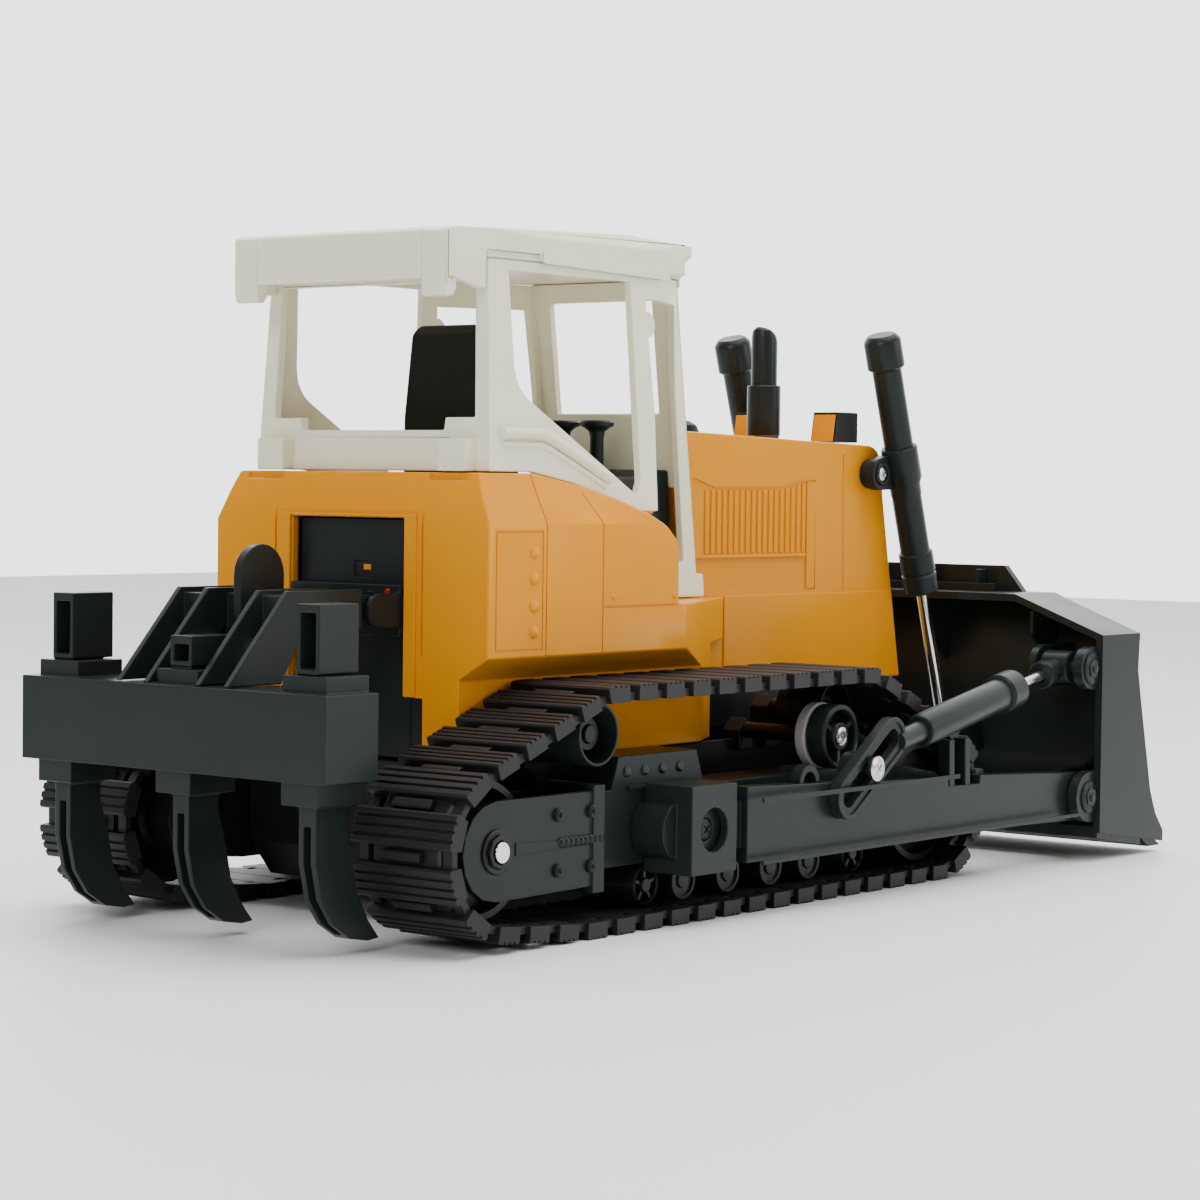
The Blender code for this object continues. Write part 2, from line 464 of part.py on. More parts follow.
def make_frame(word, side):
    """Track frame with its fixed rollers and carrier post, guard plate, trunnion box and gearbox."""
    beam = [(-100.5, 17.9), (52, 17.9), (52, 39.4), (-46, 39.4), (-50, 50), (-88, 50), (-91, 40.5),
            (-100.5, 40.5)]
    frame = prism(f"track_frame_{word}", beam, "y", *span(side, 55, 72), GREY)
    fork = [(40, 17.9), (70, 15), *arc(IDLER, 10.5, -60, 90, 6), (60, 38), (40, 40.5)]
    fuse(frame, prism("fork", fork, "y", *span(side, 71.6, 74.9), GREY))
    fuse(frame, cylinder("idler_stub", (IDLER[0], side * 50, IDLER[1]), (0, side, 0), 23, 4.0, GREY, 14))
    for x in ROLLER_X[1:-1]:
        start = (x, side * 58.5, ROLLER_Z)
        fuse(frame, cylinder("fixed_roller", start, (0, side, 0), 13.4, ROLLER_R, GREY, 12))
        fuse(frame, block("hanger", (x - 4, x + 4), span(side, 62, 70), (12, 20), GREY))
    for x in (ROLLER_X[0], ROLLER_X[-1]):
        fuse(frame, block("end_hanger", (x - 4, x + 4), span(side, 55.6, 58.1), (8, 20), GREY))
        fuse(frame, cylinder("roller_stub", (x, side * 57, ROLLER_Z), (0, side, 0), 14.6, 1.9, GREY, 12))
    x, z = REAR_CARRIER
    post = [(-100.2, 25), (-92, 25), (-92, 40), (-97, z + 4), (-105, z + 4), (-105, 46), (-100.2, 44)]
    fuse(frame, prism("carrier_post", post, "y", *span(side, 47.6, 51.4), GREY))
    fuse(frame, block("post_foot", (-99.8, -92), span(side, 50, 56), (26, 38), GREY))
    fuse(frame, cylinder("carrier_stub", (x, side * 49, z), (0, side, 0), 23, 2.6, GREY, 12))
    x, z = SPROCKET
    guard = [*arc((x, z), 14, 90, 270, 8), (-106, 14.4), (-106, 41.6)]
    plate = prism(f"guard_plate_{word}", guard, "y", *span(side, 74.3, 76.8), GREY)
    flange = [(-106.3, 12.3), (-101, 12.3), (-101, 43.3), (-106.3, 43.3)]
    fuse(plate, prism("flange", flange, "y", *span(side, 74.3, 77.6), GREY))
    fuse(plate, block("flange_web", (-103.6, -101), span(side, 57, 76), (14.5, 43.3), GREY))
    cut(plate, cylinder("axle_hole", (x, side * 70, z), (0, side, 0), 10, 3.5, GREY, 14))
    x, z = TRUNNION
    box = block(f"trunnion_box_{word}", (x - 11, x + 11), span(side, 72.3, 90), (15.4, 41.5), GREY)
    fuse(box, cylinder("rear_boss", (x - 9, side * 72.3, z), (0, side, 0), 12, 8.6, GREY, 14))
    cut(box, block("arm_room", (x - 9, x + 20), span(side, 77.4, 87.3), (17.4, 39.6), GREY))
    cut(box, cylinder("screw_hole", (x, side * 85, z), (0, side, 0), 10, 6.6, GREY, 16))
    fuse(box, cylinder("trunnion_pin", (x, side * 76, z), (0, side, 0), 10.6, 3.0, GREY, 12))
    x, z = SPROCKET
    case = arc((x, z), 11, 90, 270, 6)
    case += [(-128, z - 13), (-104, z - 13), (-104, z + 12), (-128, z + 13)]
    gearbox = prism(f"gearbox_{word}", case, "y", *span(side, 40.4, 51), BLACK)
    cut(gearbox, cylinder("shaft_hole", (x, side * 42.2, z), (0, side, 0), 10, 3.5, BLACK, 14))


def make_push_frame():
    """The two push arms, which turn on the trunnions to lift the blade."""
    pivot = (TRUNNION[0], 0, TRUNNION[1])
    front = arc(BLADE_PIN, 8.4, -100, 80, 6)
    eye = arc((SLOT_SCREW[0], SLOT_SCREW[1] - 0.4), 5.2, 0, 180, 6)
    arm_view = [(-47.5, 16.8), (72, 16.6), *front, (84, 34.4), (83.6, 31.6), (64.6, 31.9), (64.2, 35),
                (22, 36.6), *eye, (5, 37.6), (-47.5, 39.6)]
    arms = []
    for word, side in SIDES:
        arm = prism(f"push_arm_{word}", arm_view, "y", *span(side, ARM_IN, ARM_OUT), GREY, pivot)
        x, z = TRUNNION
        tongue = [*arc((x, z), 8.2, 60, 300, 8), (-44, 21.2), (-44, 35.2)]
        fuse(arm, prism("tongue", tongue, "y", *span(side, 79.6, 86.8), GREY))
        cut(arm, cylinder("tongue_hole", (x, side * 70, z), (0, side, 0), 25, 3.5, GREY, 12))
        for low in (66.2, 75.8):
            prong = [(low, 29), (low + 3.2, 29), (low + 2.6, 47), (low - 0.6, 47)]
            fuse(arm, prism("prong", prong, "y", *span(side, 83.8, 88.6), GREY))
        start = (BLADE_PIN[0], side * 80, BLADE_PIN[1])
        cut(arm, cylinder("blade_pin_hole", start, (0, side, 0), 12, 3.0, GREY))
        start = (SLOT_SCREW[0], side * 86, SLOT_SCREW[1])
        head = [(0, 0), (0, 2.2), (7.3, 2.2), (7.3, 4.0), (8.7, 4.0), (8.7, 0)]
        fuse(arm, turned("slot_screw", start, (0, side, 0), head, GREY, 10))
        arms.append(arm)
    ride("blade_lift", pivot, *arms)


def make_blade():
    """The blade: curved mouldboard, end plates, top flange, spill guard and hinge lugs."""
    pivot = (BLADE_PIN[0], 0, BLADE_PIN[1])
    sheet = [(198.4, 2.2), (190, 7), (181, 18), (174.5, 33), (171.5, 50), (172.5, 66), (177, 80), (181, 92),
             (176.5, 92), (172.5, 80), (168.5, 66), (167.3, 50), (170, 33), (176, 17), (184, 6), (190, 2.2)]
    blade = prism("blade", sheet, "y", -BLADE_HALF + 1, BLADE_HALF - 1, GREY, pivot)
    roof = [(-95.5, 78.6), (-60, 91.8), (60, 91.8), (95.5, 78.6), (95.5, 0), (-95.5, 0)]
    shape(blade, "INTERSECT", prism("blade_height", roof, "x", 140, 200, GREY))
    under = [(-95.5, 76), (-60, 89.2), (60, 89.2), (95.5, 76)]
    flange = [(-95.5, 78.6), (-60, 91.8), (60, 91.8), (95.5, 78.6)] + under[::-1]
    fuse(blade, prism("top_flange", flange, "x", 153, 179.5, GREY))
    guard = [(-50, 91), (-41.6, 101), (41.6, 101), (50, 91)]
    fuse(blade, prism("spill_guard", guard, "x", 176.3, 179.3, GREY))
    strip = [(153, 8.2), (184, 3.4), (184, 6.6), (172, 26), (153, 12)]
    fuse(blade, prism("rear_strip", strip, "y", -BLADE_HALF + 1, BLADE_HALF - 1, GREY))
    side_view = [(153, 10), (198.7, 3.6), (198.7, 7.5), (193, 14), (189, 22.4), (181, 54.9), (178.6, 65.6),
                 (179.4, 78), (153, 78)]
    x, z = BLADE_PIN
    ux, uz = BRACE_PIN
    for _, side in SIDES:
        fuse(blade, prism("end_plate", side_view, "y", *span(side, BLADE_HALF - 2.6, BLADE_HALF), GREY))
        lower = [*arc((x, z), 8.8, 90, 270, 6), (176, z - 8.8), (176, z + 8.8)]
        fuse(blade, prism("lower_near_lug", lower, "y", *span(side, 89.8, 93.4), GREY))
        fuse(blade, prism("lower_far_lug", lower, "y", *span(side, 78.8, 82.6), GREY))
        fuse(blade, cylinder("lower_pin", (x, side * 80, z), (0, side, 0), 12, 2.5, GREY, 12))
        upper = [*arc((ux, uz), 7.4, 90, 270, 6), (175, uz - 7.4), (175, uz + 7.4)]
        fuse(blade, prism("upper_near_lug", upper, "y", *span(side, 89.8, 93.4), GREY))
        fuse(blade, prism("upper_far_lug", upper, "y", *span(side, 72, 74.8), GREY))
        fuse(blade, cylinder("upper_pin", (ux, side * 73, uz), (0, side, 0), 18, 2.4, GREY, 12))
        ear = [*arc(LIFT_EYE, 4.6, 90, 270, 4), (172, LIFT_EYE[1] - 7), (172, LIFT_EYE[1] + 7)]
        fuse(blade, prism("lift_ear", ear, "y", *span(side, LIFT_Y - 6.2, LIFT_Y - 3.6), GREY))
        fuse(blade, prism("lift_ear", ear, "y", *span(side, LIFT_Y + 3.6, LIFT_Y + 6.2), GREY))
        start = (LIFT_EYE[0], side * (LIFT_Y - 5), LIFT_EYE[1])
        fuse(blade, cylinder("lift_pin", start, (0, side, 0), 10, 1.4, GREY, 8))
    ride("blade_pitch", pivot, blade)


def make_braces():
    """Tilt braces: a slotted link with a barrel, and a steel rod with its eye, on each side."""
    length = math.dist(BRACE_START, BRACE_END)
    for word, side in SIDES:
        pivot = (BRACE_END[0], side * BRACE_END[1], BRACE_END[2])
        start = Vector((BRACE_START[0], side * BRACE_START[1], BRACE_START[2]))
        along = Vector((BRACE_END[0], side * BRACE_END[1], BRACE_END[2])) - start
        tube = [(0, 0), (0, 2.8), (20, 2.8), (20, 4.6), (22, 5.3), (76, 5.3), (77, 6.6), (87, 6.6), (88, 5.6),
                (88, 2.35), (40, 2.35), (40, 0)]
        barrel = turned(f"tilt_barrel_{word}", start, along, tube, GREY, 14, pivot)
        link = prism("slot_link", capsule(LINK_LOW, LINK_HIGH, 6.4), "y", *span(side, 89.6, 92.6), GREY)
        fuse(barrel, link)
        slot = capsule(LINK_LOW, LINK_HIGH, 2.9)
        cut(barrel, prism("link_slot", slot, "y", *span(side, 88, 96), GREY))
        shaft = [(42, 0), (42, 2.0), (length - 4.5, 2.0), (length - 4.5, 0)]
        rod = turned(f"tilt_rod_{word}", start, along, shaft, STEEL, 12, pivot)
        eye = cylinder("rod_eye", (pivot[0], pivot[1] - 3.4, pivot[2]), (0, 1, 0), 6.8, 5.6, GREY, 14)
        fuse(rod, eye)
        cut(rod, cylinder("eye_hole", (pivot[0], pivot[1] - 9, pivot[2]), (0, 1, 0), 18, 2.8, GREY, 12))
        ride(f"brace_{word}_swing", pivot, barrel, rod)


def make_lifts():
    """Lift cylinders: a barrel that swings on the hood's cross tube, and a steel rod in it."""
    top = Vector((LIFT_TOP[0], 0, LIFT_TOP[1]))
    eye = Vector((LIFT_EYE[0], 0, LIFT_EYE[1]))
    along = (eye - top).normalized()
    x, z = LIFT_PIVOT
    for word, side in SIDES:
        pivot = (x, side * LIFT_Y, z)
        start = Vector((top.x, side * LIFT_Y, top.z))
        tube = [(2.6, 0), (2.6, 5.2), (4.2, 6.7), (14.6, 6.7), (14.6, 4.9), (39, 4.9), (39, 6.4), (54, 6.4),
                (54, 4.9), (81, 4.9), (81, 6.2), (99, 6.2), (99, 2.6), (6, 2.6), (6, 0)]
        barrel = turned(f"lift_barrel_{word}", start, along, tube, GREY, 14, pivot)
        hub = [*arc((x, z), 5.6, 100, 280, 8), (x + 9.5, z - 5.2), (x + 6.5, z + 7)]
        fuse(barrel, prism("pivot_ear", hub, "y", *span(side, LIFT_Y - 4.4, LIFT_Y - 0.8), GREY))
        reach = math.dist(LIFT_TOP, LIFT_EYE)
        shaft = [(52, 0), (52, 2.2), (reach - 4, 2.2), (reach - 4, 0)]
        rod = turned(f"lift_rod_{word}", start, along, shaft, STEEL, 12, pivot)
        ring = cylinder("eye", (eye.x, side * LIFT_Y - 2.6, eye.z), (0, 1, 0), 5.2, 5.4, STEEL, 14)
        fuse(rod, ring)
        cut(rod, cylinder("eye_hole", (eye.x, side * LIFT_Y - 9, eye.z), (0, 1, 0), 18, 3.5, STEEL, 12))
        ride(f"lift_{word}_swing", pivot, barrel, rod)


def make_insides():
    """Battery pack, circuit board and the two drive motors inside the hull and body."""
    block("battery_pack", (-20, 70), (-22, 22), (12.4, 40), BLACK)
    block("circuit_board", (-90, -28), (-30, 30), (52, 53.6), GREY)
    for word, side in SIDES:
        start = (-104, side * 4, 30)
        motor = [(0, 0), (0, 10), (27, 10), (27, 4), (31, 4), (31, 0)]
        turned(f"drive_motor_{word}", start, (0, side, 0), motor, STEEL, 14)


make_hull()
make_body()
make_hood()
make_hood_fittings()
make_cab()
make_roof()
make_driver_place()
make_rear_panel()
make_ripper()
make_tracks()
make_push_frame()
make_blade()
make_braces()
make_lifts()
make_insides()
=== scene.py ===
"""The looks of a radio-controlled toy bulldozer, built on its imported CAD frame.

Sizes here are in millimetres in the CAD frame: X to the blade, Y to the driver's left, Z up,
with the ground at Z = 0. Meshes are made in metres. Places come from the CAD nodes' boxes and
from the joints' axes wherever a node or a joint is there to give them.
"""
import json
import math

import bmesh
import bpy
from mathutils import Matrix, Vector


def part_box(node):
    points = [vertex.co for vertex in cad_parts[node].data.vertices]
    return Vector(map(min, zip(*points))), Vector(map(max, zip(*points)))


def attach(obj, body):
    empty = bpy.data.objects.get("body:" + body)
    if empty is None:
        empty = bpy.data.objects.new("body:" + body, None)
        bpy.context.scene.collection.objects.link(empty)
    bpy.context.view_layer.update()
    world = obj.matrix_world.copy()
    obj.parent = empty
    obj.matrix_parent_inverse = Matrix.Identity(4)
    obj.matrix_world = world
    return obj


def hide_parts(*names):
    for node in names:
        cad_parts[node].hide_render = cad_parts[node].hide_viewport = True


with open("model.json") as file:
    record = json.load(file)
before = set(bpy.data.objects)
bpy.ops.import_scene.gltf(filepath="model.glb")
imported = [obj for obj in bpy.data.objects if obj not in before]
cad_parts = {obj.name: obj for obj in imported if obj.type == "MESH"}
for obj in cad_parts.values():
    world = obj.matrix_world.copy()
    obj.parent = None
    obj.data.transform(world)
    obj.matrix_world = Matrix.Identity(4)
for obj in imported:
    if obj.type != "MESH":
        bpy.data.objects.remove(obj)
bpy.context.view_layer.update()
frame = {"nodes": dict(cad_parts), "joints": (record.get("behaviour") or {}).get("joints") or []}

MM = 0.001
SIDES = (("left", 1), ("right", -1))
JOINTS = {joint["name"]: joint for joint in frame["joints"]}


def pivot(joint):
    """A joint's place in millimetres."""
    return Vector(JOINTS[joint]["pos_m"]) / MM


def box(node):
    low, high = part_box(node)
    return low / MM, high / MM


# Materials -------------------------------------------------------------------------------


def add_node(tree, kind, **inputs):
    made = tree.nodes.new(kind)
    for name, value in inputs.items():
        made.inputs[name.replace("_", " ")].default_value = value
    return made


def moulded(name, colour, roughness, mottle=0.04, grain=0.0, grain_size=0.6, swing=0.05, metallic=0.0,
        gloss=0.3):
    """Moulded plastic or plated metal: its colour drifts a little, its roughness varies in soft
    patches, and a fine grain breaks up the surface. grain_size is in millimetres."""
    made = bpy.data.materials.new(name)
    made.use_nodes = True
    tree = made.node_tree
    shader = tree.nodes["Principled BSDF"]
    shader.inputs["Metallic"].default_value = metallic
    shader.inputs["Specular IOR Level"].default_value = gloss
    place = tree.nodes.new("ShaderNodeTexCoord")
    drift = add_node(tree, "ShaderNodeTexNoise", Scale=22.0, Detail=3.0, Roughness=0.55)
    tree.links.new(place.outputs["Object"], drift.inputs["Vector"])
    ramp = tree.nodes.new("ShaderNodeValToRGB")
    for stop, share in zip(ramp.color_ramp.elements, (1 - mottle, 1 + mottle)):
        stop.color = (*(min(1.0, c * share) for c in colour), 1.0)
    ramp.color_ramp.elements[0].position = 0.35
    ramp.color_ramp.elements[1].position = 0.65
    tree.links.new(drift.outputs["Fac"], ramp.inputs["Fac"])
    tree.links.new(ramp.outputs["Color"], shader.inputs["Base Color"])
    patches = add_node(tree, "ShaderNodeTexNoise", Scale=90.0, Detail=4.0, Roughness=0.6)
    tree.links.new(place.outputs["Object"], patches.inputs["Vector"])
    spread = add_node(tree, "ShaderNodeMapRange", To_Min=roughness - swing, To_Max=roughness + swing)
    tree.links.new(patches.outputs["Fac"], spread.inputs["Value"])
    tree.links.new(spread.outputs["Result"], shader.inputs["Roughness"])
    if grain:
        fine = add_node(tree, "ShaderNodeTexNoise", Scale=1 / (grain_size * MM), Detail=2.0)
        tree.links.new(place.outputs["Object"], fine.inputs["Vector"])
        bump = add_node(tree, "ShaderNodeBump", Strength=grain, Distance=0.05 * MM)
        tree.links.new(fine.outputs["Fac"], bump.inputs["Height"])
        tree.links.new(bump.outputs["Normal"], shader.inputs["Normal"])
    return made


YELLOW = moulded("yellow", (0.76, 0.285, 0.0), 0.20, 0.02, 0.02, 1.4, gloss=0.14)
IVORY = moulded("ivory", (0.84, 0.85, 0.64), 0.36, 0.02, 0.10, 1.0)
GREY = moulded("grey", (0.0125, 0.0185, 0.0175), 0.30, 0.06, 0.10, 0.7, gloss=0.18)
BLACK = moulded("black", (0.006, 0.006, 0.007), 0.42, 0.10, 0.25, 0.6)
RUBBER = moulded("rubber", (0.009, 0.009, 0.010), 0.50, 0.12, 0.4, 0.5)
SEAT = moulded("seat", (0.005, 0.0055, 0.004), 0.45, 0.10, 0.4, 0.5, gloss=0.2)
WHITE = moulded("white", (0.45, 0.46, 0.44), 0.45, 0.04, 0.2, 0.8)
STEEL = moulded("steel", (0.72, 0.70, 0.66), 0.16, 0.03, 0.06, 0.4, 0.05, 1.0)
SCREW = moulded("screw", (0.62, 0.60, 0.56), 0.26, 0.05, 0.2, 0.3, 0.08, 1.0)
GREEN = moulded("board", (0.010, 0.080, 0.030), 0.40, 0.10, 0.2, 0.5)
WRAP = moulded("wrap", (0.020, 0.060, 0.200), 0.30, 0.05, 0.1, 1.0)
RED = moulded("red_lamp", (0.45, 0.010, 0.006), 0.30, 0.04, 0.05, 0.5)


# Mesh tools ------------------------------------------------------------------------------


def span(side, near, far):
    """A distance range off the middle, on one side, as low and high Y."""
    return tuple(sorted((side * near, side * far)))


def arc(centre, radius, first, last, steps):
    """Points from one angle to another, in degrees, both included."""
    angles = [math.radians(first + (last - first) * i / steps) for i in range(steps + 1)]
    return [(centre[0] + radius * math.cos(a), centre[1] + radius * math.sin(a)) for a in angles]


def loft(data, loops, closed=False):
    """Skins a row of equal loops of points; the ends are filled unless it closes on itself."""
    rings = [[data.verts.new(point) for point in loop] for loop in loops]
    pairs = list(zip(rings, rings[1:]))
    if closed:
        pairs.append((rings[-1], rings[0]))
    else:
        data.faces.new(rings[0])
        data.faces.new(rings[-1])
    count = len(rings[0])
    for first, second in pairs:
        for i in range(count):
            j = (i + 1) % count
            data.faces.new((first[i], first[j], second[j], second[i]))


PLACES = {
    "x": lambda a, b, c: (c, a, b),
    "y": lambda a, b, c: (a, c, b),
    "z": lambda a, b, c: (a, b, c),
}


def prism(data, outline, axis, low, high):
    """An outline extruded along an axis: (y, z) along x, (x, z) along y, or (x, y) along z."""
    place = PLACES[axis]
    loft(data, [[place(a, b, c) for a, b in outline] for c in (low, high)])


def block(data, x, y, z):
    prism(data, [(x[0], z[0]), (x[1], z[0]), (x[1], z[1]), (x[0], z[1])], "y", y[0], y[1])


def turned(data, start, along, profile, steps=48):
    """The profile's (distance, radius) points, closed, turned round a line."""
    along = Vector(along).normalized()
    across = along.orthogonal().normalized()
    third = along.cross(across)
    rings = []
    for distance, radius in profile:
        centre = Vector(start) + along * distance
        if radius == 0:
            rings.append([data.verts.new(centre)] * steps)
            continue
        angles = [2 * math.pi * i / steps for i in range(steps)]
        ring = [across * math.cos(a) + third * math.sin(a) for a in angles]
        rings.append([data.verts.new(centre + radius * out) for out in ring])
    for first, second in zip(rings, rings[1:] + rings[:1]):
        for i in range(steps):
            j = (i + 1) % steps
            corners = dict.fromkeys((first[i], first[j], second[j], second[i]))
            if len(corners) > 2:
                data.faces.new(tuple(corners))


def rod(data, start, along, length, radius, steps=32):
    turned(data, start, along, [(0, 0), (0, radius), (length, radius), (length, 0)], steps)


def sweep(data, route, radius, steps=16):
    """A round bar along a route of points, with its ring square to the route at each."""
    route = [Vector(point) for point in route]
    loops = []
    for i, point in enumerate(route):
        along = (route[min(i + 1, len(route) - 1)] - route[max(i - 1, 0)]).normalized()
        across = along.cross(Vector((0, 1, 0))).normalized()
        third = along.cross(across)
        angles = [2 * math.pi * k / steps for k in range(steps)]
        loops.append([point + radius * (across * math.cos(a) + third * math.sin(a)) for a in angles])
    loft(data, loops)


EDGE_ANGLE = 34


def shade(mesh, sharp=EDGE_ANGLE):
    mesh.shade_smooth()
    mesh.set_sharp_from_angle(angle=math.radians(sharp))


def round_edges(made, width, clamp=False):
    """Rounds the edges of a piece the way a mould does, and keeps its flat faces flat. Clamping
    holds the rounding back to what a piece's shortest edges can take."""
    edges = made.modifiers.new("rounded", "BEVEL")
    edges.width = width * MM
    edges.segments = 2
    edges.limit_method = "ANGLE"
    edges.angle_limit = math.radians(EDGE_ANGLE)
    edges.use_clamp_overlap = clamp
    edges.harden_normals = True
    edges.miter_outer = "MITER_ARC"


def piece(name, data, paint, body, bevel, sharp=EDGE_ANGLE, stands_for=()):
    """Makes an object of a mesh in millimetres and lets it ride on a CAD body."""
    bmesh.ops.recalc_face_normals(data, faces=data.faces)
    bmesh.ops.scale(data, vec=(MM, MM, MM), verts=data.verts)
    mesh = bpy.data.meshes.new(name)
    data.to_mesh(mesh)
    data.free()
    shade(mesh, sharp)
    mesh.materials.append(paint)
    made = bpy.data.objects.new(name, mesh)
    bpy.context.scene.collection.objects.link(made)
    if bevel:
        round_edges(made, bevel)
    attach(made, body)
    if stands_for:
        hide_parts(*stands_for)
    return made


def soften(node, paint, width, *cutters, merge=True):
    """Finishes a CAD node where it stands: welds its facets, rounds its edges, cuts fine seams.
    A node whose flat faces form a ring isn't merged, because merging would fill the ring."""
    made = frame["nodes"][node]
    if "custom_normal" in made.data.attributes:
        made.data.attributes.remove(made.data.attributes["custom_normal"])
    made.data.materials.clear()
    made.data.materials.append(paint)
    weld = made.modifiers.new("weld", "WELD")
    weld.merge_threshold = 0.00001
    if merge:
        flat = made.modifiers.new("flat", "DECIMATE")
        flat.decimate_type = "DISSOLVE"
        flat.angle_limit = math.radians(0.6)
        flat.delimit = {"SHARP"}
    shade(made.data)
    round_edges(made, width, not merge)
    for tool in cutters:
        groove = made.modifiers.new("groove", "BOOLEAN")
        groove.operation = "DIFFERENCE"
        groove.object = tool
    if cutters:
        made.modifiers["rounded"].harden_normals = False
        even = made.modifiers.new("even", "WEIGHTED_NORMAL")
        even.keep_sharp = True
    return made


def cutter(name, data):
    """A hidden tool for a Boolean."""
    bmesh.ops.recalc_face_normals(data, faces=data.faces)
    bmesh.ops.scale(data, vec=(MM, MM, MM), verts=data.verts)
    mesh = bpy.data.meshes.new(name)
    data.to_mesh(mesh)
    data.free()
    made = bpy.data.objects.new(name, mesh)
    bpy.context.scene.collection.objects.link(made)
    made.hide_render = True
    made.hide_viewport = True
    made.display_type = "WIRE"
    return made


def seam(name, route, normal, width=0.5, depth=0.45, closed=False):
    """A cutter for a fine line in a surface: a square bar along a route of points."""
    route = [Vector(point) for point in route]
    normal = Vector(normal).normalized()
    count = len(route)
    loops = []
    for i, point in enumerate(route):
        before = route[i - 1] if closed or i else None
        after = route[(i + 1) % count] if closed or i + 1 < count else None
        legs = []
        if before is not None:
            legs.append((point - before).normalized())
        if after is not None:
            legs.append((after - point).normalized())
        along = (legs[0] + legs[-1]).normalized()
        across = along.cross(normal).normalized() * width / 2 / max(0.4, along.dot(legs[0]))
        top, low = point + normal * 0.8, point - normal * depth
        loops.append([top - across, top + across, low + across, low - across])
    data = bmesh.new()
    loft(data, loops, closed)
    return cutter(name, data)


# Tracks and wheels -----------------------------------------------------------------------

# BODY_SIDE and HOOD_SIDE are the half widths of the yellow shell and of the hood.

SPROCKET = pivot("sprocket_left_spin")
IDLER = pivot("idler_left_spin")
REAR_CARRIER = pivot("carrier_rear_left_spin")
FRONT_CARRIER = pivot("carrier_front_left_spin")
RING_WHEEL = pivot("ring_wheel_left_spin")
ROAD_REAR = pivot("road_rear_left_spin")
ROAD_FRONT = pivot("road_front_left_spin")
TRACK_LOW, TRACK_HIGH = box("track_left")
TRACK_IN, TRACK_OUT = TRACK_LOW.y, TRACK_HIGH.y
BODY_SIDE = 54.5
HOOD_SIDE = 25.0
BELT = 4.8
PITCH = 13.0


def belt_line():
    """The belt's inner line: points and outward normals at even steps along it, its length last."""
    wheels = [(SPROCKET, 20.2), (REAR_CARRIER, 9.6), (FRONT_CARRIER, 9.6), (IDLER, 20.3)]
    wheels.append((Vector((-112, 0, ROAD_REAR.z)), 6.4))
    points = []
    for step in range(720):
        turn = math.radians(step / 2)
        normal = Vector((math.cos(turn), 0, math.sin(turn)))
        centre, radius = max(wheels, key=lambda wheel: wheel[0].dot(normal) + wheel[1])
        points.append((centre + normal * radius, normal))
    lengths = [0.0]
    for (first, _), (second, _) in zip(points, points[1:] + points[:1]):
        lengths.append(lengths[-1] + (second - first).length)
    return points, lengths


BELT_POINTS, BELT_LENGTHS = belt_line()
SHOES = round(BELT_LENGTHS[-1] / PITCH)
PITCH = BELT_LENGTHS[-1] / SHOES


def on_belt(along, height, y):
    """The place of a point of the flat belt once it is bent round its wheels."""
    along %= BELT_LENGTHS[-1]
    low, high = 0, len(BELT_LENGTHS) - 1
    while high - low > 1:
        middle = (low + high) // 2
        low, high = (middle, high) if BELT_LENGTHS[middle] <= along else (low, middle)
    (first, out_first), (second, out_second) = BELT_POINTS[low], BELT_POINTS[(low + 1) % len(BELT_POINTS)]
    share = (along - BELT_LENGTHS[low]) / max(BELT_LENGTHS[low + 1] - BELT_LENGTHS[low], 1e-9)
    normal = out_first.lerp(out_second, share).normalized()
    place = first.lerp(second, share) + normal * height
    return Vector((place.x, y, place.z))


def bent(data, outline, low, high):
    """A (distance, height) outline across the belt, bent round the wheels."""
    loft(data, [[on_belt(a, h, y) for a, h in outline] for y in (low, high)])


def make_track(word, side):
    """The belt: grooved shoes, and between them three links with windows and a raised bar."""
    data = bmesh.new()
    shoe, groove, depth = 8.6, 0.8, 0.75
    for i in range(SHOES):
        start = i * PITCH
        top = [(start, 0), (start, BELT - 0.5), (start + 0.5, BELT)]
        for k in range(3):
            middle = start + shoe * (k + 1) / 4
            top += [(middle - groove / 2, BELT), (middle - groove / 4, BELT - depth),
                    (middle + groove / 4, BELT - depth), (middle + groove / 2, BELT)]
        top += [(start + shoe - 0.5, BELT), (start + shoe, BELT - 0.5), (start + shoe, 0)]
        bent(data, top, *span(side, TRACK_IN, TRACK_OUT))
        low, high = start + shoe - 0.2, start + PITCH + 0.2
        for near, far, height in ((46.6, 49.9, 2.4), (52.3, 74.6, 2.0), (76.9, 80.3, 2.4)):
            bar = [(low, 0.1), (low, height), (high, height), (high, 0.1)]
            bent(data, bar, *span(side, near, far))
        low, high = start + shoe + 0.9, start + PITCH - 0.9
        bent(data, [(low, 1), (low, 3.6), (low + 0.4, 4), (high - 0.4, 4), (high, 3.6), (high, 1)],
                *span(side, 56, 70))
    piece(f"belt_{word}", data, RUBBER, "chassis", 0.16, stands_for=[f"track_{word}"])


